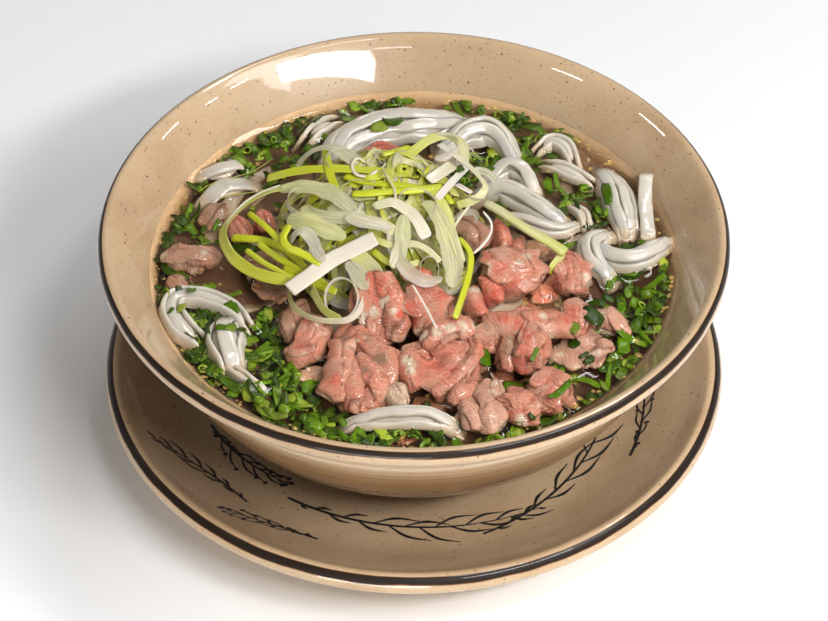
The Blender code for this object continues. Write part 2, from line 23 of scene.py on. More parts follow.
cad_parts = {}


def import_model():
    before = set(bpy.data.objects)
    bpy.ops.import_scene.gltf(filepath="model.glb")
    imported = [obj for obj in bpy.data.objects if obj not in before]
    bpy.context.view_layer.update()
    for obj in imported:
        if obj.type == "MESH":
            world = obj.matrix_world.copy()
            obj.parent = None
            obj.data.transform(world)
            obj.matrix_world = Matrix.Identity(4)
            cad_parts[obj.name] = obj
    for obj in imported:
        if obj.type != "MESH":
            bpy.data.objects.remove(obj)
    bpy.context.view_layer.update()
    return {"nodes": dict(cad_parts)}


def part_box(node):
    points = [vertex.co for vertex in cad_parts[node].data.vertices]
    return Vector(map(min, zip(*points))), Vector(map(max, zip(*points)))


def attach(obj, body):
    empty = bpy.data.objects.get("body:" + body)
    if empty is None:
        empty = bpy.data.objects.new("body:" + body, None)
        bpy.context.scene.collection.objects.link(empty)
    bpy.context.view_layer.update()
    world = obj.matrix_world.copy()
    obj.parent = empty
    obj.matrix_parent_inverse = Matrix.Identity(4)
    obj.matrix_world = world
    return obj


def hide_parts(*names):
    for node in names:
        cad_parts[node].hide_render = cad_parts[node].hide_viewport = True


LOG = logging.getLogger("pho")
MM = 0.001
BODY = "root"
CURVE_READINGS = 24
Colour = tuple[float, float, float]
Station = tuple[float, ...]
Faces = list[tuple[int, ...]]
Shape = tuple[np.ndarray, Faces, dict[str, np.ndarray | float]]
Node = bpy.types.Node
Socket = bpy.types.NodeSocket
Value = Socket | float


# ------------------------------------------------------------------ sizes taken from the solids


@dataclass(frozen=True)
class Levels:
    """Heights and radii that every piece is set out from, in millimetres."""

    rim_z: float
    rim_radius: float
    broth_z: float
    plate_height: float

    @classmethod
    def from_frame(cls) -> Levels:
        """Reads the levels from the solids' boxes.

        Returns:
            The levels of this bowl.
        """
        bowl, broth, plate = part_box("bowl")[1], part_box("broth")[1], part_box("plate")[1]
        return cls(
            rim_z=bowl.z / MM, rim_radius=bowl.x / MM, broth_z=broth.z / MM, plate_height=plate.z / MM,
        )


# ------------------------------------------------------------------ curves and meshes


def unit(vectors: np.ndarray) -> np.ndarray:
    """Scales rows to length one."""
    return vectors / np.maximum(np.linalg.norm(vectors, axis=-1, keepdims=True), 1e-9)


def lengths_along(route: np.ndarray) -> np.ndarray:
    """Gives the distance gone at each point of a route."""
    return np.concatenate([[0.0], np.cumsum(np.linalg.norm(np.diff(route[:, :3], axis=0), axis=1))])


def smooth_route(stations: Sequence[Station], step: float) -> np.ndarray:
    """Reads a smooth curve through the stations at even steps.

    Args:
        stations: Points x, y, z with any further values after them.
        step: Distance between the points that come back, in millimetres.

    Returns:
        An array with one row a point, as wide as the stations.
    """
    given = np.asarray(stations, float)
    padded = np.vstack([2 * given[0] - given[1], given, 2 * given[-1] - given[-2]])
    t = np.linspace(0, 1, CURVE_READINGS, endpoint=False)[:, None]
    dense = []
    for first in range(len(given) - 1):
        a, b, c, d = padded[first : first + 4]
        bend, twist = 2 * a - 5 * b + 4 * c - d, 3 * b - a - 3 * c + d
        dense.append(0.5 * (2 * b + (c - a) * t + bend * t**2 + twist * t**3))
    curve = np.vstack([*dense, given[-1:]])
    gone = lengths_along(curve)
    wanted = np.linspace(0, gone[-1], max(4, round(gone[-1] / step) + 1))
    return np.stack([np.interp(wanted, gone, curve[:, k]) for k in range(curve.shape[1])], axis=1)


def travel_frame(route: np.ndarray) -> tuple[np.ndarray, np.ndarray, np.ndarray]:
    """Gives the directions ahead, sideways and up at each point of a route.

    Args:
        route: Points x, y, z.

    Returns:
        Ahead, side and up, one row a point.
    """
    ahead = unit(np.gradient(route[:, :3], axis=0))
    up = unit(np.array([0.0, 0.0, 1.0]) - ahead * ahead[:, 2:3])
    return ahead, np.cross(ahead, up), up


def swell(points: np.ndarray, size: float, seed: float) -> np.ndarray:
    """Reads smooth noise from -1 to 1.

    Args:
        points: Where to read, in millimetres.
        size: Size of its lumps in millimetres.
        seed: Picks another field.

    Returns:
        One value a point.
    """
    shift = Vector((seed * 3.71, seed * 1.37 + 5.0, seed * 2.11 - 9.0))
    return np.array([noise.noise(Vector(p) + shift) for p in (points / size).tolist()])


def soft_step(values: np.ndarray, low: float, high: float) -> np.ndarray:
    """Goes from 0 at low to 1 at high with soft ends."""
    share = np.clip((values - low) / (high - low), 0, 1)
    return share * share * (3 - 2 * share)


def tube_faces(rings: int, around: int, filled: bool = True) -> Faces:
    """Faces of a tube of rings.

    Args:
        rings: Number of rings.
        around: Points in each ring.
        filled: Whether one face fills each end.

    Returns:
        Faces as tuples of point indices.
    """
    rows, turn = np.arange(rings - 1)[:, None] * around, np.arange(around)[None, :]
    low, after = rows + turn, rows + (turn + 1) % around
    quads = np.stack([low, low + around, after + around, after], axis=-1).reshape(-1, 4)
    faces = [tuple(quad) for quad in quads.tolist()]
    if filled:
        last = (rings - 1) * around
        faces += [tuple(range(around)), tuple(range(last + around - 1, last - 1, -1))]
    return faces


def turned_faces(rings: int, around: int) -> Faces:
    """Faces of a turned shape: its rings, then a middle point at each end.

    Args:
        rings: Number of rings.
        around: Points in each ring.

    Returns:
        Faces as tuples of point indices.
    """
    faces = tube_faces(rings, around, filled=False)
    start, end, last = rings * around, rings * around + 1, (rings - 1) * around
    for step in range(around):
        after = (step + 1) % around
        faces += [(start, step, after), (end, last + after, last + step)]
    return faces


def disc_faces(rings: int, around: int) -> Faces:
    """Faces of a disc: a middle point, then rings from the inside out.

    Args:
        rings: Number of rings.
        around: Points in each ring.

    Returns:
        Faces as tuples of point indices.
    """
    faces = [(0, 1 + k, 1 + (k + 1) % around) for k in range(around)]
    for ring in range(rings - 1):
        here, after = 1 + ring * around, 1 + (ring + 1) * around
        for k in range(around):
            faces.append((here + k, after + k, after + (k + 1) % around, here + (k + 1) % around))
    return faces


class MeshBatch:
    """Gathers points, faces and per-point values of one piece, in millimetres."""

    def __init__(self, *channels: str) -> None:
        """Starts an empty batch.

        Args:
            channels: Names of the values that each point carries.
        """
        self.points: list[np.ndarray] = []
        self.faces: Faces = []
        self.channels: dict[str, list[np.ndarray]] = {name: [] for name in channels}
        self.count = 0

    def add(self, points: np.ndarray, faces: Faces, **values: np.ndarray | float) -> None:
        """Adds one shell.

        Args:
            points: Its points.
            faces: Its faces, counted from its own first point.
            values: One number or one array for each channel.
        """
        self.faces.extend(tuple(index + self.count for index in face) for face in faces)
        self.points.append(np.asarray(points, float))
        for name, stored in self.channels.items():
            stored.append(np.broadcast_to(np.asarray(values.get(name, 0.0), float), (len(points),)))
        self.count += len(points)

    def build(self, name: str, finish: bpy.types.Material, outward: bool = True) -> bpy.types.Object:
        """Makes the object.

        Args:
            name: Name of the piece.
            finish: Its material.
            outward: Whether to turn the faces to point out.

        Returns:
            The new object, shaded smooth.
        """
        mesh = bpy.data.meshes.new(name)
        mesh.from_pydata((np.vstack(self.points) * MM).tolist(), [], self.faces)
        if outward:
            shape = bmesh.new()
            shape.from_mesh(mesh)
            bmesh.ops.recalc_face_normals(shape, faces=shape.faces)
            shape.to_mesh(mesh)
            shape.free()
        for channel, stored in self.channels.items():
            layer = mesh.attributes.new(channel, "FLOAT", "POINT")
            layer.data.foreach_set("value", np.concatenate(stored).astype(np.float32))
        mesh.shade_smooth()
        mesh.materials.append(finish)
        made = bpy.data.objects.new(name, mesh)
        bpy.context.scene.collection.objects.link(made)
        return made


def settle(piece: bpy.types.Object, slot: str, *nodes: str) -> bpy.types.Object:
    """Rides a piece on the body and stands it in for CAD nodes.

    Args:
        piece: The new piece.
        slot: Not used.
        nodes: CAD nodes that it replaces.

    Returns:
        The same piece.
    """
    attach(piece, BODY)
    if nodes:
        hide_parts(*nodes)
    LOG.info("%s: %d points, %d faces", piece.name, len(piece.data.vertices), len(piece.data.polygons))
    return piece


def flat_section(around: int = 12, squareness: float = 0.55) -> np.ndarray:
    """Outline of a flat strand, from -1 to 1 across and through.

    Args:
        around: Number of points.
        squareness: 1 for an ellipse, less for a fuller outline.

    Returns:
        Rows of across and through.
    """
    turn = np.arange(around) / around * math.tau
    across = np.sign(np.cos(turn)) * np.abs(np.cos(turn)) ** squareness
    through = np.sign(np.sin(turn)) * np.abs(np.sin(turn)) ** 0.85
    return np.stack([across, through], axis=1)


def sweep(
    centres: np.ndarray, sides: np.ndarray, ups: np.ndarray, half_widths: np.ndarray, half_thicks: np.ndarray,
    section: np.ndarray, cup: float = 0.0,
) -> np.ndarray:
    """Sweeps a section along a route.

    Args:
        centres: Middle of each ring.
        sides: Direction across each ring.
        ups: Direction through each ring.
        half_widths: Half the width at each ring.
        half_thicks: Half the thickness at each ring.
        section: Outline from flat_section.
        cup: How far the edges curl up, as a share of half the width.

    Returns:
        The points, ring after ring.
    """
    wide, share = half_widths[:, None], section[None, :, 0]
    across = share * wide
    through = section[None, :, 1] * half_thicks[:, None] + cup * wide * share**2
    sideways = centres[:, None, :] + sides[:, None, :] * across[..., None]
    return (sideways + ups[:, None, :] * through[..., None]).reshape(-1, 3)


def end_taper(gone: np.ndarray, reach: float, least: float) -> np.ndarray:
    """Rounds both ends of a strand in plan.

    Args:
        gone: Distance gone at each ring.
        reach: Length over which it narrows.
        least: Share of its width left at the very end.

    Returns:
        A factor for each ring.
    """
    near = np.minimum(gone, gone[-1] - gone) / max(reach, 1e-6)
    return least + (1 - least) * np.sqrt(np.clip(near, 0, 1) * (2 - np.clip(near, 0, 1)))


# ------------------------------------------------------------------ shader graphs


class Graph:
    """Builds nodes and links in one node tree."""

    def __init__(self, tree: bpy.types.NodeTree) -> None:
        """Wraps a node tree."""
        self.tree = tree

    def node(self, kind: str, inputs: dict[str | int, object] | None = None, **settings: object) -> Node:
        """Adds a node.

        Args:
            kind: Blender's name of the node, without ShaderNode.
            inputs: A value or a socket for each input.
            settings: Properties of the node.

        Returns:
            The node.
        """
        made = self.tree.nodes.new("ShaderNode" + kind)
        for name, value in settings.items():
            setattr(made, name, value)
        for name, value in (inputs or {}).items():
            socket = made.inputs[name]
            if isinstance(value, Socket):
                self.tree.links.new(value, socket)
            elif isinstance(value, tuple) and len(value) == 3 and socket.type == "RGBA":
                socket.default_value = (*value, 1.0)
            else:
                socket.default_value = value
        return made

    def math(self, operation: str, *values: Value) -> Socket:
        """Adds a Math node and gives its result."""
        return self.node("Math", dict(enumerate(values)), operation=operation).outputs[0]

    def times(self, first: Value, second: Value) -> Socket:
        """Multiplies two values."""
        return self.math("MULTIPLY", first, second)

    def plus(self, first: Value, second: Value) -> Socket:
        """Adds two values."""
        return self.math("ADD", first, second)

    def minus(self, first: Value, second: Value) -> Socket:
        """Takes the second value from the first."""
        return self.math("SUBTRACT", first, second)

    def mix(self, factor: Value, first: object, second: object, blend: str = "MIX") -> Socket:
        """Mixes two colours and gives the result."""
        given = {0: factor, 6: first, 7: second}
        return self.node("Mix", given, data_type="RGBA", blend_type=blend).outputs[2]

    def ramp(self, value: Value, low: Value, high: Value) -> Socket:
        """Maps low to 0 and high to 1 with soft ends."""
        given = {"Value": value, "From Min": low, "From Max": high}
        return self.node("MapRange", given, interpolation_type="SMOOTHSTEP").outputs[0]

    def attribute(self, name: str) -> Socket:
        """Reads a per-point value."""
        return self.node("Attribute", attribute_name=name).outputs["Fac"]

    def noise(self, vector: Socket, scale: Value, detail: float = 3.0, rough: float = 0.55) -> Socket:
        """Adds a Noise Texture and gives its value."""
        given = {"Vector": vector, "Scale": scale, "Detail": detail, "Roughness": rough}
        return self.node("TexNoise", given).outputs[0]

    def place(self) -> Socket:
        """Gives the place on the object in metres."""
        return self.node("TexCoord").outputs["Object"]

    def axes(self) -> Sequence[Socket]:
        """Gives the place's x, y and z."""
        return self.node("SeparateXYZ", {0: self.place()}).outputs

    def group(self, group: bpy.types.NodeTree, **inputs: object) -> Sequence[Socket]:
        """Puts a shared group in and gives its outputs."""
        return self.node("Group", inputs, node_tree=group).outputs


class Finish(Graph):
    """A material and the graph that feeds its Principled shader."""

    def __init__(self, name: str, look: Colour) -> None:
        """Starts a material.

        Args:
            name: Name of the finish.
            look: Its colour in solid view.
        """
        self.material = bpy.data.materials.new(name)
        self.material.use_nodes = True
        self.material.diffuse_color = (*look, 1.0)
        super().__init__(self.material.node_tree)
        self.shader = self.tree.nodes["Principled BSDF"]

    def feed(self, name: str, value: Socket) -> None:
        """Links a socket to an input of the shader."""
        self.tree.links.new(value, self.shader.inputs[name])

    def bump(self, height: Socket, depth: float, strength: float) -> None:
        """Feeds a height into the shader's normal.

        Args:
            height: The height, from 0 to 1.
            depth: What 1 stands for, in metres.
            strength: Strength of the Bump node.
        """
        given = {"Height": height, "Distance": depth, "Strength": strength}
        self.feed("Normal", self.node("Bump", given).outputs[0])

    def plain(self, **values: float) -> None:
        """Sets uniform values on the shader, with underscores for the blanks in their names."""
        for name, value in values.items():
            self.shader.inputs[name.replace("_", " ").title().replace("Ior", "IOR")].default_value = value

    def soften(self, weight: float, scale: float, radius: Colour) -> None:
        """Lets light wander under the surface.

        Args:
            weight: Share of the light that does.
            scale: How far it goes, in metres.
            radius: How far red, green and blue go, as shares of that.
        """
        self.plain(subsurface_weight=weight, subsurface_scale=scale)
        self.shader.inputs["Subsurface Radius"].default_value = radius


def make_group(
    name: str, inputs: Sequence[tuple[str, str, object]], outputs: Sequence[tuple[str, str]],
    wire: Callable[[Graph, Sequence[Socket]], dict[str, Socket]],
) -> bpy.types.NodeTree:
    """Makes a shader node group.

    Args:
        name: Name of the group.
        inputs: Name, kind and default of each input.
        outputs: Name and kind of each output.
        wire: Builds the inside from the inputs and returns the socket for each output.

    Returns:
        The group.
    """
    tree = bpy.data.node_groups.new(name, "ShaderNodeTree")
    for label, kind, default in inputs:
        socket = tree.interface.new_socket(name=label, in_out="INPUT", socket_type="NodeSocket" + kind)
        socket.default_value = (*default, 1.0) if kind == "Color" else default
    for label, kind in outputs:
        tree.interface.new_socket(name=label, in_out="OUTPUT", socket_type="NodeSocket" + kind)
    entry = tree.nodes.new("NodeGroupInput")
    leave = tree.nodes.new("NodeGroupOutput")
    for label, socket in wire(Graph(tree), entry.outputs).items():
        tree.links.new(socket, leave.inputs[label])
    return tree


class Effects:
    """The shader groups that several finishes share."""

    murk_rates: Colour = (52.0, 78.0, 118.0)
    cloud_rate: float = 75.0

    def __init__(self, levels: Levels) -> None:
        """Builds the groups.

        Args:
            levels: Sizes of this bowl.
        """
        self.surface = levels.broth_z * MM
        mask = ("Mask", "Float")
        colour = ("Colour", "Color")
        self.steep = make_group(
            "steeped", [("Colour", "Color", (0.8, 0.8, 0.8)), ("Murk", "Color", (0.110, 0.052, 0.018))],
            [colour], self._wire_steep,
        )
        self.mottle = make_group(
            "mottle",
            [("First", "Color", (0.8, 0.8, 0.8)), ("Second", "Color", (0.5, 0.5, 0.5)),
             ("Scale", "Float", 120.0), ("Low", "Float", 0.35), ("High", "Float", 0.65)],
            [colour, mask], self._wire_mottle,
        )
        self.fibres = make_group(
            "fibres", [("Fineness", "Float", 0.9), ("Stretch", "Float", 0.1), ("Seed", "Float", 0.0)],
            [mask, ("Height", "Float")], self._wire_fibres,
        )
        self.specks = make_group(
            "specks", [("Glaze", "Color", (0.6, 0.4, 0.25)), ("Speck", "Color", (0.12, 0.06, 0.03))],
            [colour, mask], self._wire_specks,
        )

    def _wire_steep(self, graph: Graph, entry: Sequence[Socket]) -> dict[str, Socket]:
        """Darkens what lies under the broth, by its depth."""
        depth = graph.math("MAXIMUM", graph.minus(self.surface, graph.axes()[2]), 0.0)
        fades = [graph.math("EXPONENT", graph.times(depth, -rate)) for rate in self.murk_rates]
        through = graph.node("CombineColor", dict(enumerate(fades))).outputs[0]
        tinted = graph.mix(1.0, entry["Colour"], through, "MULTIPLY")
        cloud = graph.minus(1.0, graph.math("EXPONENT", graph.times(depth, -self.cloud_rate)))
        return {"Colour": graph.mix(cloud, tinted, entry["Murk"])}

    @staticmethod
    def _wire_mottle(graph: Graph, entry: Sequence[Socket]) -> dict[str, Socket]:
        """Mixes two colours by soft blotches."""
        blotch = graph.noise(graph.place(), entry["Scale"], 4.0, 0.55)
        mask = graph.ramp(blotch, entry["Low"], entry["High"])
        return {"Colour": graph.mix(mask, entry["First"], entry["Second"]), "Mask": mask}

    @staticmethod
    def _wire_fibres(graph: Graph, entry: Sequence[Socket]) -> dict[str, Socket]:
        """Draws fibres along a strand, from its own across and along values in millimetres."""
        across = graph.times(graph.attribute("across"), entry["Fineness"])
        along = graph.times(graph.attribute("along"), entry["Stretch"])
        spot = graph.node("CombineXYZ", {0: across, 1: along, 2: entry["Seed"]}).outputs[0]
        grain = graph.noise(spot, 1.0, 4.0, 0.65)
        return {"Mask": graph.ramp(grain, 0.36, 0.64), "Height": grain}

    @staticmethod
    def _wire_specks(graph: Graph, entry: Sequence[Socket]) -> dict[str, Socket]:
        """Scatters iron specks through a glaze, a few large and many fine."""
        spot = graph.place()
        bend = graph.node("TexNoise", {"Vector": spot, "Scale": 600.0, "Detail": 2.0}).outputs["Color"]
        bend = graph.node("VectorMath", {0: bend, "Scale": 0.0009}, operation="SCALE").outputs[0]
        warped = graph.node("VectorMath", {0: spot, 1: bend}, operation="ADD").outputs[0]
        masks = []
        sizes = ((190.0, 0.07, 0.14, 0.62), (420.0, 0.10, 0.2, 0.5), (900.0, 0.14, 0.3, 0.42))
        for scale, core, edge, keep in sizes:
            cells = graph.node("TexVoronoi", {"Vector": warped, "Scale": scale}).outputs
            dot = graph.minus(1.0, graph.ramp(cells["Distance"], core, edge))
            chance = graph.node("SeparateColor", {0: cells["Color"]}).outputs[0]
            masks.append(graph.times(dot, graph.ramp(chance, keep, keep + 0.3)))
        large = graph.math("MAXIMUM", masks[0], masks[1])
        mask = graph.math("MAXIMUM", large, graph.times(masks[2], 0.6))
        return {"Colour": graph.mix(graph.times(mask, 0.8), entry["Glaze"], entry["Speck"]), "Mask": mask}


# ------------------------------------------------------------------ finishes of the bowl and the broth


@dataclass(frozen=True)
class StonewareFinish:
    """Tan speckled glaze, striped outside and painted lighter there as painted fill light on the shaded outer
    wall, with a brown line under the lip.

    Attributes:
        name: Name of the material.
        lip_z: Height of the lip's crest, in millimetres.
        line_low: How far below the crest the brown line ends.
        line_high: How far below the crest it starts.
        least_radius: Radius that the line stays outside of.
        steeped: Whether broth stands on it.
    """

    name: str
    lip_z: float
    line_low: float
    line_high: float
    least_radius: float
    steeped: bool
    glaze: Colour = (0.545, 0.385, 0.232)
    glaze_deep: Colour = (0.475, 0.318, 0.180)
    lightened_outside: Colour = (0.900, 0.740, 0.545)
    line: Colour = (0.014, 0.006, 0.002)
    fringe: Colour = (0.200, 0.085, 0.030)
    speck: Colour = (0.120, 0.060, 0.030)
    line_waver: float = 1.2
    stripes_to_side: float = 9.0
    stripes_upward: float = 620.0

    def _band(self, look: Finish, axes: Sequence[Socket]) -> Socket:
        """Marks the brown line, with edges that waver a little."""
        squares = [look.math("POWER", axis, 2.0) for axis in axes[:2]]
        radius = look.math("SQRT", look.plus(*squares))
        wave = look.times(look.minus(look.noise(look.place(), 60.0, 2.0), 0.5), self.line_waver * MM)
        drop = look.plus(look.minus(self.lip_z * MM, axes[2]), wave)
        high, low, out = self.line_high * MM, self.line_low * MM, self.least_radius * MM
        above = look.ramp(drop, high - 0.4 * MM, high + 0.4 * MM)
        below = look.minus(1.0, look.ramp(drop, low - 0.5 * MM, low + 0.5 * MM))
        return look.times(look.times(above, below), look.ramp(radius, out, out + 0.6 * MM))

    def build(self, effects: Effects) -> bpy.types.Material:
        """Makes the material of one vessel.

        Args:
            effects: Shared groups.

        Returns:
            The material.
        """
        look = Finish(self.name, self.glaze)
        axes = look.axes()
        shades = {"First": self.glaze, "Second": self.glaze_deep}
        mottle = look.group(effects.mottle, **shades, Scale=38.0, Low=0.4, High=0.72)
        scales = (self.stripes_to_side, self.stripes_to_side, self.stripes_upward)
        layers = {k: look.times(axes[k], scale) for k, scale in enumerate(scales)}
        stripes = look.ramp(look.noise(look.node("CombineXYZ", layers).outputs[0], 1.0, 3.0, 0.6), 0.38, 0.62)
        outside = look.attribute("outside")
        # painted light: the outside is painted a lighter tan than the glaze, standing in for fill light on
        # its shaded wall; the stripes are throwing rings
        striped = look.mix(look.times(stripes, 0.75), self.lightened_outside, self.glaze)
        body = look.mix(look.times(outside, 0.85), mottle["Colour"], striped)
        specks = look.group(effects.specks, Glaze=body, Speck=self.speck)
        band = self._band(look, axes)
        rusty = look.mix(look.ramp(band, 0.0, 0.5), specks["Colour"], self.fringe)
        colour = look.mix(look.ramp(band, 0.35, 0.85), rusty, self.line)
        if self.steeped:
            colour = look.group(effects.steep, Colour=colour)["Colour"]
        look.feed("Base Color", colour)
        dull = look.plus(look.plus(0.30, look.times(mottle["Mask"], 0.08)), look.times(outside, 0.16))
        look.feed("Roughness", look.plus(dull, look.times(band, 0.2)))
        look.feed("Coat Weight", look.minus(0.85, look.times(band, 0.62)))
        relief = look.plus(look.noise(look.place(), 220.0, 3.0), look.times(specks["Mask"], -0.4))
        look.bump(look.plus(relief, look.times(look.times(stripes, outside), 0.9)), 0.1 * MM, 0.35)
        look.plain(coat_roughness=0.04, specular_ior_level=0.25)
        return look.material


@dataclass(frozen=True)
class BrothFinish:
    """Clear brown broth: glass-like, with its brown held in what lies under it."""

    tint: Colour = (0.93, 0.84, 0.72)
    deep_tint: Colour = (0.86, 0.74, 0.60)
    cloud: Colour = (0.40, 0.25, 0.14)

    def build(self) -> bpy.types.Material:
        """Makes the material."""
        look = Finish("clear_broth", self.cloud)
        swirl = look.noise(look.place(), 26.0, 3.0, 0.55)
        look.feed("Base Color", look.mix(look.ramp(swirl, 0.4, 0.75), self.tint, self.deep_tint))
        look.plain(roughness=0.02, ior=1.34, transmission_weight=1.0)
        return look.material


@dataclass(frozen=True)
class CloudFinish:
    """Murk deep in the broth, darker and browner in front as painted shade."""

    shaded_front: Colour = (0.085, 0.032, 0.010)
    dark: Colour = (0.100, 0.046, 0.016)
    light: Colour = (0.220, 0.122, 0.052)

    def build(self, effects: Effects) -> bpy.types.Material:
        """Makes the material.

        Args:
            effects: Shared groups.

        Returns:
            The material.
        """
        look = Finish("broth_cloudiness_and_shade", (0.14, 0.07, 0.03))
        swirl = look.group(effects.mottle, First=self.dark, Second=self.light, Scale=55.0, Low=0.38, High=0.7)
        # painted shade: towards the front the murk goes over to the darker shaded_front colour
        back = look.ramp(look.axes()[1], -20 * MM, 55 * MM)
        look.feed("Base Color", look.mix(back, self.shaded_front, swirl["Colour"]))
        look.plain(roughness=0.7)
        return look.material


# ------------------------------------------------------------------ crockery


@dataclass(frozen=True)
class Stretch:
    """A stretch of a turned outline.

    Attributes:
        stations: Radius and height of its points.
        spacing: How far apart its rings lie.
        outer: How much it counts as outside, from 0 to 1.
    """

    stations: tuple[Station, ...]
    spacing: float
    outer: float


@dataclass(frozen=True)
class Crockery:
    """The bowl and its under-plate, turned on a wheel."""

    levels: Levels
    effects: Effects
    segments: int = 192
    wobble: float = 0.25
    throwing_depth: float = 0.16
    throwing_pitch: float = 3.4
    bowl_inside: tuple[Station, ...] = (
        (0, -67), (20, -66.6), (40, -65.2), (57, -60.3), (69.5, -52.8), (78, -43.4), (84, -34),
        (88.3, -25.5), (92, -18), (97, -11.2), (102.4, -4.6), (104.9, -1.6),
    )
    bowl_lip: tuple[Station, ...] = (
        (106.2, -0.35), (107.3, -0.02), (108.5, -0.4), (109.35, -1.4), (109.85, -2.7), (109.95, -4.0),
        (109.5, -5.5), (108.4, -6.8), (107.0, -7.5),
    )
    bowl_outside: tuple[Station, ...] = (
        (106.2, -8.6), (104.6, -11), (100.5, -16.4), (96.2, -25), (91.4, -35), (85.4, -45), (77.4, -55),
        (66, -64), (52, -69.4), (48.8, -70.2), (47.6, -72.2), (46.6, -76.2), (45.6, -76.95), (41.6, -76.95),
        (40.9, -76), (40.2, -72.4), (37, -71.2), (20, -71.0), (0, -71.0),
    )
    plate_inside: tuple[Station, ...] = (
        (0, 8), (40, 8), (71, 8.05), (77, 8.25), (83, 9.4), (89, 12.0), (95, 15.4), (100, 18.8),
        (103, 21.5), (105.2, 23.7),
    )
    plate_lip: tuple[Station, ...] = (
        (106.3, 24.6), (107.4, 24.96), (108.6, 24.6), (109.8, 23.7), (110.7, 22.5), (111.3, 21.1),
        (111.35, 19.9), (110.8, 18.9), (109.6, 18.1),
    )
    plate_outside: tuple[Station, ...] = (
        (104, 14.5), (98, 10.5), (92, 7.6), (86, 5.5), (79, 4.0), (71.6, 3.0), (70.4, 2.2), (69.9, 0.4),
        (69.4, 0.02), (65.6, 0.02), (65, 0.5), (64.4, 2.4), (62, 3.05), (40, 3.1), (0, 3.1),
    )

    def _outline(self, stretches: Sequence[Stretch], lift: float) -> tuple[np.ndarray, ...]:
        """Reads the points of an outline and marks its throwing rings.

        Args:
            stretches: The stretches of the outline, from the middle of the upper face on.
            lift: Height added to every station.

        Returns:
            Radius, height and share of outside of each point.
        """
        stations = [
            (radius, 0.0, height, stretch.spacing, stretch.outer)
            for stretch in stretches for radius, height in stretch.stations
        ]
        fine = smooth_route(stations, 0.4)
        kept = [0]
        for index in range(1, len(fine)):
            gone = np.linalg.norm(fine[index, :3] - fine[kept[-1], :3])
            if gone >= fine[index, 3] or index == len(fine) - 1:
                kept.append(index)
        radii, heights = np.maximum(fine[kept, 0], 0.0), fine[kept, 2] + lift
        outer = np.clip(fine[kept, 4], 0, 1)
        under_rim = np.clip((self.levels.rim_z - 10 - heights) / 6, 0, 1)
        ringed = outer * np.clip((radii - 50) / 12, 0, 1) * under_rim
        turns = heights / self.throwing_pitch * math.tau
        groove, spiral = 0.5 + 0.5 * np.sin(turns), 0.5 + 0.5 * np.sin(turns * 2.7 + 1.0)
        return radii - ringed * self.throwing_depth * (groove * 0.7 + spiral * 0.3), heights, outer

    def _turned(self, name: str, stretches: Sequence[Stretch], lift: float, finish: bpy.types.Material,
                seed: int) -> bpy.types.Object:
        """Turns an outline on the wheel.

        Args:
            name: Name of the piece.
            stretches: The stretches of its outline.
            lift: Height added to every station.
            finish: Its material.
            seed: Picks its unevenness.

        Returns:
            The vessel.
        """
        radii, heights, outer = self._outline(stretches, lift)
        angles = np.arange(self.segments) / self.segments * math.tau
        phase = seed * 1.7
        uneven = 0.5 + 0.28 * np.sin(2 * angles + phase) + 0.22 * np.sin(5 * angles + 2 * phase)
        drift = 1 - self.wobble / self.levels.rim_radius * uneven
        inner = slice(1, -1)
        grid = np.stack([
            np.outer(radii[inner], np.cos(angles) * drift), np.outer(radii[inner], np.sin(angles) * drift),
            np.repeat(heights[inner][:, None], self.segments, axis=1),
        ], axis=-1).reshape(-1, 3)
        points = np.vstack([grid, [[0, 0, heights[0]], [0, 0, heights[-1]]]])
        shares = np.concatenate([np.repeat(outer[inner], self.segments), [outer[0], outer[-1]]])
        batch = MeshBatch("outside")
        batch.add(points, turned_faces(len(radii) - 2, self.segments), outside=shares)
        return batch.build(name, finish)

    def build(self) -> None:
        """Makes both vessels."""
        bowl_glaze = StonewareFinish(
            "bowl_glaze", self.levels.rim_z, line_low=2.25, line_high=0.12, least_radius=107.8, steeped=True,
        ).build(self.effects)
        plate_glaze = StonewareFinish(
            "plate_glaze", self.levels.plate_height, line_low=2.35, line_high=0.15, least_radius=108.1,
            steeped=False,
        ).build(self.effects)
        bowl = (
            Stretch(self.bowl_inside, 2.2, 0.0), Stretch(self.bowl_lip, 0.5, 0.0),
            Stretch(self.bowl_outside, 0.85, 1.0),
        )
        plate = (
            Stretch(self.plate_inside, 2.4, 0.0), Stretch(self.plate_lip, 0.5, 0.0),
            Stretch(self.plate_outside, 1.6, 0.7),
        )
        settle(self._turned("stoneware_bowl", bowl, self.levels.rim_z, bowl_glaze, 1), "stoneware", "bowl")
        settle(self._turned("stoneware_plate", plate, 0.0, plate_glaze, 2), "stoneware", "plate")

    def plate_height_at(self, radius: float) -> float:
        """Height of the plate's upper face at a radius."""
        table = np.array(self.plate_inside)
        return float(np.interp(radius, table[:, 0], table[:, 1]))

    def inside_radius(self, height: float) -> float:
        """Radius of the bowl's inner face at a height."""
        table = np.array(self.bowl_inside)
        return float(np.interp(height - self.levels.rim_z, table[:, 1], table[:, 0]))


# ------------------------------------------------------------------ broth


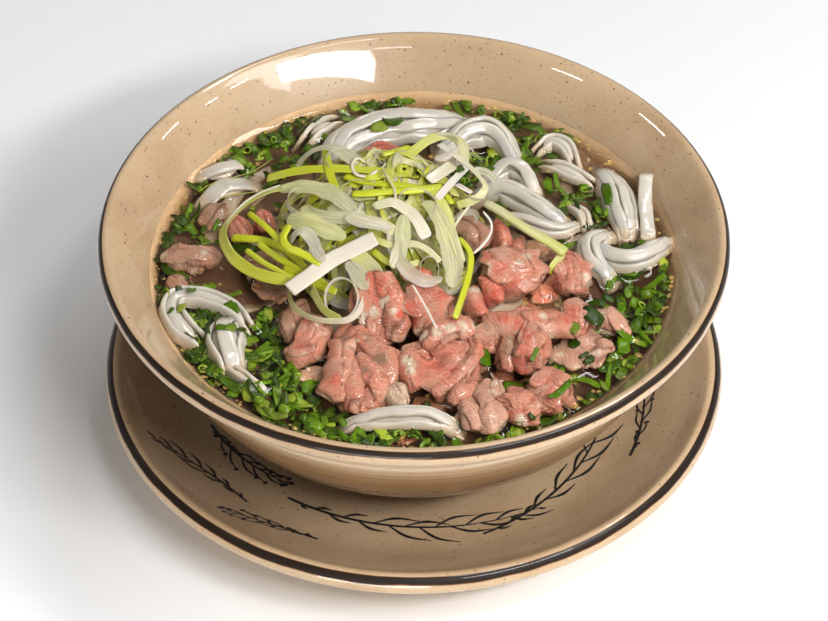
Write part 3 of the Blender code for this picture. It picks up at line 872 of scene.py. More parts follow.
@dataclass(frozen=True)
class Broth:
    """Broth that fills the bowl up to its level and climbs what stands in it."""

    levels: Levels
    crockery: Crockery
    into_wall: float = 0.35
    spokes: int = 480
    rings: int = 114
    crowding: float = 0.8
    cloud_rings: int = 26
    cloud_spokes: int = 96
    clear_depth: float = 6.5
    climb: float = 1.9
    reach: float = 1.9
    small_climb: float = 0.4
    small_reach: float = 0.6
    ripple: float = 0.14

    def build(self, effects: Effects, waterline: np.ndarray, floating: np.ndarray) -> None:
        """Makes the broth.

        Args:
            effects: Shared groups.
            waterline: Points x, y where standing food breaks the surface.
            floating: Points x, y where floating bits do.
        """
        level, rim = self.levels.broth_z, self.levels.rim_z
        edge = self.crockery.inside_radius(level + self.climb) + self.into_wall
        radii = edge * (np.arange(1, self.rings + 1) / self.rings) ** self.crowding
        angles = np.arange(self.spokes) / self.spokes * math.tau
        cosines, sines = np.cos(angles), np.sin(angles)
        grid = np.stack([np.outer(radii, cosines), np.outer(radii, sines)], axis=-1).reshape(-1, 2)
        shells = [np.column_stack([grid, self._surface(grid, edge - self.into_wall, waterline, floating)])]
        for radius, depth in reversed(self.crockery.bowl_inside[1:]):
            if depth + rim < level - 0.5:
                out, height = radius + self.into_wall, depth + rim - self.into_wall
                shells.append(np.column_stack([out * cosines, out * sines, np.full(self.spokes, height)]))
        bottom = self.crockery.bowl_inside[0][1] + rim - self.into_wall
        rings = self.rings + len(shells) - 1
        batch = MeshBatch()
        batch.add(np.vstack([*shells, [[0, 0, level]], [[0, 0, bottom]]]), turned_faces(rings, self.spokes))
        made = batch.build("broth_pool", BrothFinish().build())
        made.visible_shadow = False
        self._cloud(effects)
        settle(made, "broth", "broth")

    def _surface(self, grid: np.ndarray, wall: float, waterline: np.ndarray,
                 floating: np.ndarray) -> np.ndarray:
        """Works out how high the surface stands, with ripples and where it climbs what stands in it.

        Args:
            grid: Points x, y of the surface.
            wall: Radius of the wall.
            waterline: Points where standing food breaks the surface.
            floating: Points where floating bits do.

        Returns:
            One height a point.
        """
        tree, small_tree = self._tree(waterline), self._tree(floating)
        heights = np.empty(len(grid))
        for index, (x, y) in enumerate(grid):
            near, small = tree.find((x, y, 0.0))[2], small_tree.find((x, y, 0.0))[2]
            short = max(0.0, wall - math.hypot(x, y))
            swelling = noise.noise(Vector((x / 16, y / 16, 3.0)))
            swelling += 0.5 * noise.noise(Vector((x / 6, y / 6, 8.0)))
            climbed = max(
                self.climb * math.exp(-near / self.reach), self.climb * math.exp(-short / self.reach),
                self.small_climb * math.exp(-small / self.small_reach),
            )
            heights[index] = self.levels.broth_z + climbed + self.ripple * swelling
        return heights

    @staticmethod
    def _tree(spots: np.ndarray) -> kdtree.KDTree:
        """Sorts points x, y for quick search of the nearest."""
        tree = kdtree.KDTree(len(spots))
        for index, (x, y) in enumerate(spots):
            tree.insert((x, y, 0.0), index)
        tree.balance()
        return tree

    def _cloud(self, effects: Effects) -> None:
        """Spreads the cloudiness that hides what lies deep in the broth.

        Args:
            effects: Shared groups.
        """
        rings, spokes = self.cloud_rings, self.cloud_spokes
        level = self.levels.broth_z - self.clear_depth
        radius = self.crockery.inside_radius(level) + 0.2
        points = [(0.0, 0.0, level)]
        for ring in range(1, rings + 1):
            for spoke in range(spokes):
                turn, reach = spoke / spokes * math.tau, radius * ring / rings
                x, y = reach * math.cos(turn), reach * math.sin(turn)
                points.append((x, y, level + 1.2 * noise.noise(Vector((x / 14, y / 14, 5.0)))))
        batch = MeshBatch()
        batch.add(np.array(points), disc_faces(rings, spokes))
        settle(batch.build("broth_cloud", CloudFinish().build(effects), outward=False), "broth")


# ------------------------------------------------------------------ food in general


class Tone(Enum):
    """Starting shares of red, dull and fat of a slice."""

    RARE = (0.62, 0.0, 0.0)
    PINK = (0.16, 0.0, 0.05)
    PALE = (0.06, 0.22, 0.30)
    DULL = (0.10, 0.72, 0.10)
    GREY = (0.0, 1.0, 0.0)
    FATTY = (0.0, 0.10, 0.75)


@dataclass(frozen=True)
class Fold:
    """A rounded fold.

    Attributes:
        droop: How far its edges hang, in millimetres, or None for down into the broth.
        stations: Its route: x, y, z and half its width.
    """

    droop: float | None
    stations: tuple[Station, ...]


@dataclass(frozen=True)
class Slice:
    """One slice of beef and how it lies.

    Attributes:
        name: The solid that it stands in for.
        thickness: Its thickness in millimetres.
        tone: What it looks like before its marks.
        ragged: How torn its edges are, from 0 to 1.
        folds: Its folds.
        red: Its redder patches: x, y and radius.
        dull: Its duller patches.
        fat: Its patches of fat.
        dents: Its hollows.
    """

    name: str
    thickness: float
    tone: Tone
    ragged: float
    folds: tuple[Fold, ...]
    red: tuple[Station, ...] = ()
    dull: tuple[Station, ...] = ()
    fat: tuple[Station, ...] = ()
    dents: tuple[Station, ...] = ()


@dataclass(frozen=True)
class Bundle:
    """Noodles that lie side by side.

    Attributes:
        name: The solid that they stand in for.
        thickness: Thickness of the layer in millimetres.
        folds: The folds that they follow.
        width: Width of one noodle in millimetres.
        sink: How far they lie under their solid's route.
    """

    name: str
    thickness: float
    folds: tuple[Fold, ...]
    width: float = 4.6
    sink: float = 0.0


def waterline_of(pieces: Iterable[bpy.types.Object], level: float) -> np.ndarray:
    """Finds where pieces break the surface of the broth.

    Args:
        pieces: The pieces.
        level: Height of the surface in millimetres.

    Returns:
        Points x, y in millimetres.
    """
    found = [np.zeros((0, 2))]
    for piece in pieces:
        coordinates = np.empty(len(piece.data.vertices) * 3)
        piece.data.vertices.foreach_get("co", coordinates)
        points = coordinates.reshape(-1, 3) / MM
        ends = np.empty(len(piece.data.edges) * 2, dtype=np.int32)
        piece.data.edges.foreach_get("vertices", ends)
        first, second = points[ends[0::2]], points[ends[1::2]]
        crossing = (first[:, 2] - level) * (second[:, 2] - level) < 0
        first, second = first[crossing], second[crossing]
        share = ((level - first[:, 2]) / (second[:, 2] - first[:, 2]))[:, None]
        found.append((first + (second - first) * share)[:, :2])
    return np.vstack(found)


# ------------------------------------------------------------------ beef


@dataclass(frozen=True)
class MeatFinish:
    """Rare beef wet with broth: pink, redder in the middle, with pale fat, fine grain and painted shade in
    its creases.
    """

    pink: Colour = (0.710, 0.250, 0.148)
    red: Colour = (0.720, 0.100, 0.052)
    dull: Colour = (0.400, 0.212, 0.122)
    fat: Colour = (0.790, 0.610, 0.430)
    sheen: Colour = (0.780, 0.470, 0.325)
    crease: Colour = (0.200, 0.060, 0.030)
    murk: Colour = (0.15, 0.07, 0.03)

    def build(self, effects: Effects) -> bpy.types.Material:
        """Makes the material.

        Args:
            effects: Shared groups.

        Returns:
            The material.
        """
        look = Finish("rare_beef", self.pink)
        shades = {"First": self.pink, "Second": self.sheen}
        patches = look.group(effects.mottle, **shades, Scale=130.0, Low=0.45, High=0.85)
        grain = look.group(effects.fibres, Fineness=0.26, Stretch=1.5, Seed=4.0)
        colour = look.mix(look.attribute("red"), patches["Colour"], self.red)
        colour = look.mix(look.times(grain["Mask"], 0.36), colour, self.sheen)
        colour = look.mix(look.attribute("dull"), colour, self.dull)
        colour = look.mix(look.attribute("fat"), colour, self.fat)
        pits = look.ramp(look.noise(look.place(), 620.0, 2.0), 0.60, 0.74)
        colour = look.mix(look.times(pits, 0.30), colour, self.crease)
        # painted shade: the creases and valleys of the folds are painted darker brown
        colour = look.mix(look.attribute("crease"), colour, self.crease)
        look.feed("Base Color", look.group(effects.steep, Colour=colour, Murk=self.murk)["Colour"])
        fine = look.times(look.noise(look.place(), 1300.0, 3.0), 0.55)
        look.bump(look.plus(look.times(grain["Height"], 0.85), fine), 1.3 * MM, 1.0)
        look.feed("Roughness", look.plus(0.17, look.times(patches["Mask"], 0.12)))
        look.plain(coat_weight=0.5, coat_roughness=0.06)
        look.soften(0.10, 1.0 * MM, (1.0, 0.32, 0.18))
        return look.material


SLICES: tuple[Slice, ...] = (
    Slice("beef_curved", 3.0, Tone.PINK, 0.08, (
        Fold(None, ((-33.4, -33, 73, 2.4), (-33.8, -39, 74.2, 4.2), (-36.5, -44.6, 74, 4.3),
            (-40, -47, 71.8, 3.4), (-44, -46, 69, 1.4))),
    ), red=((-37.2, -35.3, 2.8), (-38.6, -47.6, 2.1)), dull=((-45.1, -49.8, 2.4),),
        fat=((-32.7, -39.2, 1.0),)),
    Slice("beef_crumple_left", 2.6, Tone.DULL, 0.2, (
        Fold(None, ((-37, -23.5, 71.5, 1.6), (-41, -28, 72, 2.3), (-42.8, -33, 71, 2.4),
            (-41.8, -37.6, 70, 2), (-42, -41, 68.4, 1.2))),
    )),
    Slice("beef_sunk_front", 2.4, Tone.PALE, 0.15, (
        Fold(1, ((-34.6, -51, 66.4, 2.4), (-33.6, -54.6, 67, 3.2), (-31.8, -59, 66.2, 1.8))),
    )),
    Slice("beef_fan", 2.8, Tone.PINK, 0.1, (
        Fold(None, ((-15, -45.5, 69.4, 4), (-17, -55, 71, 8.4), (-18, -65, 70.8, 8.2),
            (-19.4, -73.4, 68.4, 3.4))),
        Fold(3.4, ((-21.6, -36.6, 72.6, 1.8), (-23.5, -43.6, 74, 2.7), (-24.4, -52, 74.3, 3),
            (-25.4, -60, 74.3, 3.3), (-26, -66, 73, 3.6), (-24.6, -71, 70.4, 2.2))),
        Fold(3.2, ((-20, -54, 73, 1.6), (-20.4, -61.5, 73.4, 2.5), (-20, -68.5, 72.3, 2.6),
            (-20, -74.6, 68.6, 1.8))),
        Fold(3.2, ((-18.4, -51, 73.2, 1.6), (-14.6, -59, 74.2, 2.8), (-13.2, -66, 73.3, 3),
            (-16.4, -72, 69, 2))),
        Fold(3.6, ((-18.8, -37.5, 72.4, 1.6), (-18, -43, 73.5, 2.5), (-14.4, -48.5, 74, 3.2),
            (-9.8, -53.5, 74.5, 3.5), (-8.8, -59.6, 73.3, 3), (-10.8, -64, 70.6, 1.8))),
    ), red=((-25.8, -65.2, 2.4), (-23.3, -74.1, 2.8)), dull=((-15.3, -42.2, 3.1), (-21.0, -49.9, 1.7),
        (-16.1, -60.4, 1.7), (-11.5, -55.7, 2.8)), fat=((-19.3, -46.1, 1.0),), dents=((-15.3, -41.2, 2.8),
        (-21.0, -49.0, 1.4), (-15.4, -63.3, 1.4))),
    Slice("beef_upright", 2.8, Tone.PINK, 0.1, (
        Fold(0.8, ((-11, -21.5, 84, 1.5), (-13, -25, 80.8, 3.8), (-15, -29.5, 77, 5), (-15, -35, 73.8, 4))),
        Fold(3.4, ((-9.6, -21.5, 83.6, 1.5), (-7.8, -27, 80.5, 2.6), (-6.4, -32, 78, 2.9),
            (-6.2, -37, 75.6, 2.9), (-6.8, -42.2, 70.4, 1.8))),
        Fold(None, ((-13.4, -31.4, 76, 3.4), (-12.2, -36, 73, 4.2), (-11.2, -42.4, 68.4, 2.8))),
    ), red=((-12.4, -27.6, 4.8), (-14.5, -22.2, 2.8), (-4.8, -36.3, 1.7)), fat=((-17.8, -34.9, 2.1),
        (-13.7, -33.4, 1.7), (-10.0, -31.4, 1.7), (-6.9, -35.4, 1.4))),
    Slice("beef_flat_middle", 2.8, Tone.PINK, 0.12, (
        Fold(None, ((6.4, -23, 78.6, 5.4), (5.2, -29.4, 78.4, 7.8), (4.6, -35.6, 76.4, 7.2),
            (2.8, -40.6, 71, 3.6))),
    ), red=((-0.7, -35.0, 3.8), (8.9, -28.7, 3.1)), fat=((0.6, -40.3, 1.4),), dents=((3.4, -32.1, 1.7),)),
    Slice("beef_cup", 3.0, Tone.PINK, 0.1, (
        Fold(-1, ((9, -44.5, 72.6, 8), (9.2, -52, 72.2, 10.6), (8.2, -59.4, 72, 9), (6, -66, 70, 3.8))),
        Fold(3.4, ((2, -47, 74.4, 1.6), (5, -46.4, 76.6, 2.6), (10, -42.4, 77.2, 2.6),
            (15.5, -40.4, 77.2, 2.6), (20.6, -42, 74.4, 1.6))),
        Fold(None, ((-0.8, -48.5, 73.6, 1.4), (-2.6, -54, 74.5, 1.9), (-1.4, -60, 74, 1.8),
            (1.6, -65, 71, 1.4))),
        Fold(None, ((20, -43.6, 74, 1.4), (20.4, -50, 73.8, 2.1), (17.8, -56.8, 73.4, 2.3),
            (12.6, -62.4, 72.4, 2.3), (6, -66.6, 70, 1.8))),
    ), red=((6.0, -55.6, 5.2), (10.8, -50.8, 3.4), (13.7, -58.5, 2.4)), fat=((-1.7, -56.7, 2.8),
        (-1.0, -60.5, 2.1), (3.3, -46.2, 2.1), (7.7, -45.3, 2.1), (12.2, -43.4, 2.1), (16.6, -41.9, 2.1),
        (20.7, -39.9, 1.7)), dents=((6.7, -53.7, 4.1),)),
    Slice("beef_bean", 3.0, Tone.FATTY, 0.08, (
        Fold(None, ((-7, -64, 71.6, 2), (-5.2, -67.6, 72, 2.9), (-3, -71.4, 69, 1.7))),
    )),
    Slice("beef_under_curls", 2.6, Tone.RARE, 0.2, (
        Fold(1.6, ((-5, -17.5, 84, 1.6), (-2, -19, 83, 2.4), (2, -19.4, 81.5, 2.2), (6, -19.2, 79.5, 1.4))),
    ), red=((-7.5, -26.4, 3.1),)),
    Slice("beef_dull_right", 2.8, Tone.DULL, 0.2, (
        Fold(3, ((16, 13, 77.5, 2), (19, 9, 78, 3.2), (23, 4.5, 77.5, 3.2), (24.6, 0.4, 74.4, 2))),
    )),
    Slice("beef_ruffled", 2.4, Tone.RARE, 0.3, (
        Fold(None, ((29.4, 11.5, 77.6, 1.5), (30.6, 6.5, 78.4, 2.4), (31.2, 2, 78.2, 2.2),
            (31.6, -1.2, 77, 1.5))),
    ), red=((30.1, 7.5, 2.8),), fat=((31.3, -1.8, 1.0),)),
    Slice("beef_big_fold", 3.0, Tone.PINK, 0.12, (
        Fold(None, ((30.2, -3, 77.6, 6), (32.4, -7.6, 78.8, 9.6), (35.2, -13.4, 78.6, 9.2),
            (38, -18.2, 76.8, 6.8), (40.2, -21.8, 74.2, 4.4))),
    ), red=((25.6, -10.5, 3.1), (29.6, -15.7, 3.4), (34.0, -19.2, 3.1), (23.6, -7.4, 2.4)),
        fat=((39.1, -9.5, 1.7), (36.3, -12.1, 1.4))),
    Slice("beef_curl", 2.6, Tone.RARE, 0.12, (
        Fold(None, ((23.4, -16.2, 75.8, 1.4), (25.6, -19.6, 76.8, 2.4), (27.8, -23, 75.8, 2.6),
            (29.6, -26, 73.8, 1.7))),
    ), red=((24.8, -17.5, 2.4), (27.8, -22.5, 2.4))),
    Slice("beef_hook", 2.6, Tone.PINK, 0.1, (
        Fold(None, ((20.8, -18.4, 73.4, 1.5), (19.8, -23.4, 75, 2.4), (22, -28.4, 73.6, 2.5),
            (26.4, -31, 69.4, 1.6))),
    ), red=((22.6, -27.9, 2.1),), fat=((20.6, -22.4, 2.1), (23.4, -20.9, 1.7))),
    Slice("beef_bit_back", 2.2, Tone.PINK, 0.15, (
        Fold(None, ((37.3, 6.5, 75, 1.2), (36.8, 2, 75, 1.7), (37.6, -1.4, 72, 1.6))),
    )),
    Slice("beef_right", 2.8, Tone.PINK, 0.3, (
        Fold(None, ((49.6, 1.8, 71.4, 2.8), (53.6, -5.4, 73.6, 5.6), (55, -12, 73.4, 5.4),
            (54.6, -18, 71, 3.8))),
    ), red=((54.1, -3.6, 2.4), (54.1, -11.8, 1.7)), dull=((46.4, -16.2, 2.8),), fat=((59.6, -13.7, 1.4),
        (58.2, -31.2, 1.4))),
    Slice("beef_sunk_right", 2.6, Tone.RARE, 0.1, (
        Fold(0.8, ((44.6, -2, 66.4, 2), (45, -10, 66.4, 3), (44.8, -19, 66, 2.4))),
    )),
    Slice("beef_arch", 3.0, Tone.PINK, 0.1, (
        Fold(4, ((23.6, -41, 74.4, 2.6), (29, -38.8, 76.6, 4.2), (37, -38.4, 78, 4.6),
            (45, -38.8, 77.4, 4.6), (56.4, -36.6, 74.6, 2.8))),
        Fold(None, ((28.6, -38.4, 75.6, 3), (25.6, -43, 74, 3.4), (26.6, -47, 69.6, 2))),
        Fold(None, ((41, -40.4, 78.2, 3.8), (39.8, -48, 78, 4.4), (38.6, -54, 76.2, 4.3),
            (38.4, -57.4, 70, 3))),
        Fold(None, ((32.6, -43, 75, 1.5), (31.6, -50, 74, 2.1), (31.6, -55.6, 70, 1.4))),
        Fold(None, ((55, -24.4, 72.4, 3), (55.2, -30, 74.4, 4.5), (54.8, -35.6, 74.2, 4.4),
            (54.2, -39.4, 70.6, 2.8))),
    ), red=((36.2, -42.5, 3.1), (38.8, -47.3, 3.1), (36.9, -54.1, 3.1), (35.5, -58.7, 2.4),
        (30.2, -39.5, 2.1), (51.7, -37.3, 3.4), (54.4, -31.4, 2.4)), dull=((31.7, -50.9, 2.8),
        (32.4, -47.1, 2.1)), fat=((43.8, -38.5, 1.7),)),
    Slice("beef_ragged", 2.4, Tone.PALE, 0.35, (
        Fold(1.4, ((46.6, -46.6, 67.6, 2), (52, -46, 68.6, 4.4), (58, -44, 69.2, 6.2),
            (64, -42.6, 68.8, 5.2), (68.4, -41.6, 67.4, 2))),
    ), fat=((47.3, -42.9, 2.1), (49.5, -46.8, 1.4), (59.0, -48.7, 2.1), (62.4, -46.8, 1.7))),
    Slice("beef_pale_right", 2.6, Tone.PALE, 0.25, (
        Fold(None, ((62, -28.5, 69.8, 1.8), (66, -30.2, 71.2, 3), (70, -32.4, 70, 3.2),
            (74.6, -35, 67.8, 1.8))),
    ), red=((67.8, -33.7, 1.4),), fat=((64.1, -31.2, 1.7),)),
    Slice("beef_folded_front", 2.8, Tone.PINK, 0.12, (
        Fold(None, ((34, -64.4, 70, 3.2), (35, -71, 73, 5.4), (35.8, -76.6, 72.6, 5.2),
            (35.6, -81.4, 69, 2.8))),
        Fold(None, ((47.8, -57, 71, 3), (46.8, -63, 74.6, 5.6), (43.8, -69.4, 74.6, 5.6),
            (41, -75.4, 71, 3.4))),
    ), red=((43.9, -67.2, 2.8), (45.8, -72.8, 2.4), (40.1, -72.7, 2.1)), fat=((35.3, -81.0, 2.1),),
        dents=((37.5, -73.7, 2.1),)),
    Slice("beef_crumpled_strips", 2.4, Tone.PALE, 0.25, (
        Fold(None, ((24, -66, 69.6, 3.8), (23.6, -74, 70.4, 6.4), (24.8, -81.6, 69, 4.4))),
        Fold(2.6, ((17.2, -71, 70.2, 1.4), (19, -76, 72, 2), (20.8, -82.6, 69, 1.5))),
        Fold(2.8, ((24.8, -61.6, 70.6, 1.4), (23.6, -68.6, 73.4, 1.9), (24.8, -76.5, 72.8, 2.1),
            (26, -83.6, 69, 1.5))),
        Fold(2.4, ((27.6, -62.6, 72, 1.2), (26.6, -70.6, 71.8, 1.6), (27.4, -77, 71.6, 1.7),
            (27, -82, 69, 1.3))),
    ), red=((21.3, -68.4, 1.7),), dull=((18.7, -67.0, 2.4),), fat=((27.0, -64.7, 1.4), (26.3, -69.4, 1.4)),
        dents=((22.6, -75.4, 1.4),)),
    Slice("beef_wedge", 2.6, Tone.PINK, 0.1, (
        Fold(None, ((11.2, -69.8, 69.6, 1.4), (14.6, -68.6, 73, 2.4), (19.2, -64.6, 72.2, 1.9),
            (20.6, -61.4, 69.6, 1.1))),
    ), red=((18.1, -62.3, 2.1),)),
    Slice("beef_left", 3.0, Tone.DULL, 0.15, (
        Fold(None, ((-88.6, 1.5, 68.4, 1.8), (-84, 2, 70.6, 4.8), (-78, 1.6, 71, 3.2),
            (-72, 1.6, 70.4, 3.2), (-68.4, 0.8, 68.4, 2))),
    ), red=((-81.2, 3.8, 2.1),), fat=((-88.1, 1.2, 1.7), (-73.4, 1.2, 1.4))),
    Slice("beef_left_bit", 2.4, Tone.DULL, 0.2, (
        Fold(None, ((-84, -7, 68.4, 1.6), (-82.6, -10.4, 69.6, 2.5), (-79.2, -12.6, 68.2, 1.5))),
    )),
    Slice("beef_red_lump", 2.8, Tone.RARE, 0.15, (
        Fold(None, ((-54.8, 22, 71.6, 1.6), (-53, 18, 74, 3), (-50.6, 13.4, 70.6, 1.9))),
    ), red=((-51.9, 21.0, 3.1),)),
    Slice("beef_pink_lumps", 2.8, Tone.PINK, 0.2, (
        Fold(None, ((-66, 21.6, 70.4, 1.7), (-62.8, 16.6, 72, 3), (-58.8, 12, 69.8, 2))),
    ), red=((-63.1, 18.4, 2.1),), fat=((-65.8, 21.6, 1.0),)),
    Slice("beef_mauve", 2.4, Tone.DULL, 0.15, (
        Fold(1, ((-67.6, 30.5, 67.8, 1.4), (-71, 25.5, 68, 3), (-75.6, 20, 66.6, 2.4))),
    )),
    Slice("beef_grey", 2.6, Tone.GREY, 0.2, (
        Fold(None, ((-59.4, 1.5, 68.6, 1.8), (-54, -1.4, 70.4, 3.2), (-48, -4.4, 70.6, 3),
            (-44.4, -6.4, 69, 1.8))),
    )),
    Slice("beef_brown", 2.4, Tone.GREY, 0.2, (
        Fold(0.8, ((-56, -10, 67, 1.8), (-49, -14, 67.7, 3.2), (-43.6, -17.4, 67.2, 2))),
    )),
    Slice("beef_back", 2.6, Tone.RARE, 0.15, (
        Fold(3, ((-20, 52, 72, 1.6), (-14, 55, 73.4, 2.4), (-8, 54.6, 73.4, 2.4), (-2, 53, 72, 1.6))),
    )),
)


MEAT_VALUES = ("red", "dull", "fat", "crease", "across", "along")


@dataclass(frozen=True)
class Beef:
    """Thin slices of rare beef, folded and crumpled on the broth."""

    levels: Levels
    effects: Effects
    step: float = 0.6
    outer_points: int = 29
    inner_points: int = 7
    below_broth: float = 4.2
    end_reach: float = 2.2
    end_share: float = 0.22
    fullness: float = 3.0
    wider: float = 1.12
    flare: float = 1.7
    crumple: float = 0.20
    wrinkle: float = 0.11
    crease_depth: float = 0.6
    pleat_width: float = 0.042
    crack_width: float = 0.028
    bend: float = 1.0
    small_bend: float = 0.16
    dent_depth: float = 0.65
    sunk_count: int = 46
    sunk_seed: int = 33
    sunk_pace: float = 5.5
    farthest_sunk: float = 74.0
    layered_from: float = 3.1
    layer_thickness: float = 1.2

    def _crumpled(self, points: np.ndarray, seed: float) -> np.ndarray:
        """Bends the folds of one slice together, as one crumpled sheet.

        Args:
            points: Points of one fold.
            seed: The same for every fold of the slice.

        Returns:
            The moved points.
        """
        wide = np.column_stack([swell(points, 6.2, seed + 20 + k) for k in range(3)])
        narrow = np.column_stack([swell(points, 2.5, seed + 30 + k) for k in range(3)])
        return points + self.bend * wide * np.array([1, 1, 0.7]) + self.small_bend * narrow

    def _shell(self, piece: Slice, fold: Fold, seed: float, slice_seed: float) -> Shape:
        """Shapes one fold as a closed sheet with crumpled faces.

        Args:
            piece: The slice that it belongs to.
            fold: The fold.
            seed: Picks its unevenness.
            slice_seed: Picks the bends that all folds of the slice share.

        Returns:
            Points, faces and the values of the points.
        """
        thin = piece.thickness <= self.layer_thickness
        route = smooth_route(fold.stations, self.step * 1.5 if thin else self.step)
        _, side, up = travel_frame(route)
        gone = lengths_along(route)
        close = end_taper(gone, self.end_reach, self.end_share)
        if fold.droop is None:
            hang = route[:, 2] - (self.levels.broth_z - self.below_broth)
        else:
            hang = np.full(len(route), fold.droop) * close
        outer = np.linspace(-90, 90, self.outer_points)
        inner = np.linspace(90, -90, self.inner_points + 2)[1:-1]
        turn = np.radians(np.concatenate([outer, inner]))
        face = np.concatenate([np.ones(len(outer)), -np.ones(len(inner))])
        body = face * np.sqrt(np.clip(1 - (np.abs(turn) / (math.pi / 2)) ** 6, 0, 1))
        sine, cosine = np.sin(turn), np.cos(turn)
        drop = 1 - (1 - np.abs(sine) ** self.fullness) ** (1 / self.fullness)
        around = len(turn)
        across = np.outer(0.5 * (2 * route[:, 3] + 1.5 * np.abs(hang)), turn / (math.pi / 2)).ravel()
        along = np.repeat(gone, around)
        edges = np.repeat([np.sign(sine) * 40], len(route), 0).ravel()
        traces = np.column_stack([along, edges, np.full(along.size, seed)])
        lobes = swell(traces, 4.2, seed).reshape(len(route), around)
        frayed = 1 + 1.6 * piece.ragged * lobes * np.abs(sine)[None, :]
        reach = (self.wider * route[:, 3] * close)[:, None] * frayed
        points = (
            route[:, None, :3] + side[:, None, :] * (reach * sine[None, :])[..., None]
            - up[:, None, :] * (hang[:, None] * drop[None, :])[..., None]
        )
        outward = unit(
            up[:, None, :] * (reach * cosine[None, :])[..., None]
            + side[:, None, :] * (np.abs(hang)[:, None] * sine[None, :])[..., None]
        )
        thick = piece.thickness / 2 * (0.55 + 0.45 * close)
        points = points + outward * (thick[:, None] * body[None, :])[..., None]
        kick = self.flare * np.abs(sine) ** 8 * (0.5 + lobes)
        points = points + side[:, None, :] * (kick * np.sign(sine)[None, :])[..., None]
        flat = points.reshape(-1, 3)
        push, valley = self._relief(flat, across, along, piece.ragged, seed)
        flat = self._crumpled(flat + outward.reshape(-1, 3) * push[:, None], slice_seed)
        values = self._tints(piece, flat, push, np.tile(np.abs(sine), len(route)), seed)
        # painted shade: the pleat and crack valleys are painted darker as well as sunk
        values["crease"] = np.maximum(values["crease"], 0.8 * valley)
        flat[:, 2] -= values.pop("dent")
        return flat, tube_faces(len(route), around), {**values, "across": across, "along": along}

    def _relief(self, points: np.ndarray, across: np.ndarray, along: np.ndarray, ragged: float,
                seed: float) -> tuple[np.ndarray, np.ndarray]:
        """Works out lumps, wrinkles and creases of a sheet.

        Args:
            points: Points of the sheet.
            across: How far across it each point lies.
            along: How far along it each point lies.
            ragged: How ragged the slice is.
            seed: Picks the unevenness.

        Returns:
            How far out each point is pushed, and the share of a crease at it.
        """
        level = np.zeros(along.size)
        push = (
            self.crumple * (1 + 2 * ragged) * swell(points, 3.3, seed)
            + 0.3 * self.crumple * swell(points, 1.5, seed + 2)
            + self.wrinkle * swell(np.column_stack([across / 5, along, level]), 1.1, seed + 5)
            + 1.3 * self.crumple * swell(np.column_stack([across, along / 5, level]), 2.6, seed + 9)
        )
        pleats = swell(np.column_stack([across, along / 4.2, level]), 6.0, seed + 41)
        cracks = swell(np.column_stack([across / 1.6, along, level]), 6.4, seed + 47)
        pleated = np.exp(-((pleats / self.pleat_width) ** 2))
        valley = np.maximum(pleated, 0.5 * np.exp(-((cracks / self.crack_width) ** 2)))
        return push - self.crease_depth * valley, valley

    def _tints(self, piece: Slice, points: np.ndarray, push: np.ndarray, edge: np.ndarray,
               seed: float) -> dict[str, np.ndarray]:
        """Works out how red, dull, fat and hollow each point is, and how much painted crease shade it gets.

        Args:
            piece: The slice.
            points: Its points.
            push: How far crumpling moved each point.
            edge: 0 in the middle of the fold and 1 at its edges.
            seed: Picks its unevenness.

        Returns:
            One array for each value.
        """
        red, dull, fat = piece.tone.value
        small = swell(points, 2.4, seed + 13)
        wet = 1 - soft_step(points[:, 2] - self.levels.broth_z, 0.3, 3.5)
        # partly painted shade: duller towards the fold's flanks, partly for the greyer cooked edge and partly
        # for shade where the flanks turn down
        outer = soft_step(edge, 0.72, 1.0)
        rind = soft_step(edge, 0.78, 0.98) * soft_step(swell(points, 5.5, seed + 17), 0.0, 0.4)
        found = {
            "red": red + 0.70 * swell(points, 7.0, seed + 11) + 0.26 * small,
            "dull": dull + 0.36 * swell(points, 5.0, seed + 15) + 0.34 * outer + 0.30 * wet,
            "fat": fat + 0.12 * small + 0.62 * rind,
            "dent": np.zeros(len(points)),
        }

        def near(x: float, y: float, radius: float) -> np.ndarray:
            """Gives the share of a round patch at each point."""
            away = np.hypot(points[:, 0] - x, points[:, 1] - y) / radius
            return 1 - soft_step(away + 0.35 * small, 0.45, 1.25)

        for spot in piece.red:
            found["red"] += near(*spot) * 0.75
        for spot in piece.dull:
            found["dull"] += near(*spot) * 0.95
        for spot in piece.fat:
            found["fat"] += near(*spot) * 0.95
            found["red"] -= near(*spot)
        for spot in piece.dents:
            found["dent"] += near(*spot) * spot[2] * self.dent_depth
        for name in ("red", "dull", "fat"):
            found[name] = np.clip(found[name], 0, 1)
        # painted shade: where crumpling pushed the sheet in, it is painted darker
        return {**found, "crease": 0.75 * soft_step(-push, 0.28, 0.75)}

    def build(self) -> list[bpy.types.Object]:
        """Makes every slice.

        Returns:
            The slices.
        """
        finish = MeatFinish().build(self.effects)
        made = []
        for order, piece in enumerate(SLICES):
            batch = MeshBatch(*MEAT_VALUES)
            for number, fold in enumerate(piece.folds):
                seed = order * 1.7 + number * 0.37
                points, faces, values = self._shell(piece, fold, seed, order * 1.7)
                batch.add(points, faces, **values)
                for turn, layer in enumerate(self._layers(fold)):
                    thin = replace(piece, thickness=self.layer_thickness, ragged=piece.ragged + 0.22)
                    points, faces, values = self._shell(thin, layer, seed + 60 + turn, order * 1.7)
                    batch.add(points, faces, **values)
            made.append(settle(batch.build(piece.name + "_slice", finish), "beef", piece.name))
        plainer = replace(self, step=1.0, outer_points=19, inner_points=5)
        made.append(settle(plainer._sunk().build("sunk_beef", finish), "beef"))
        return made

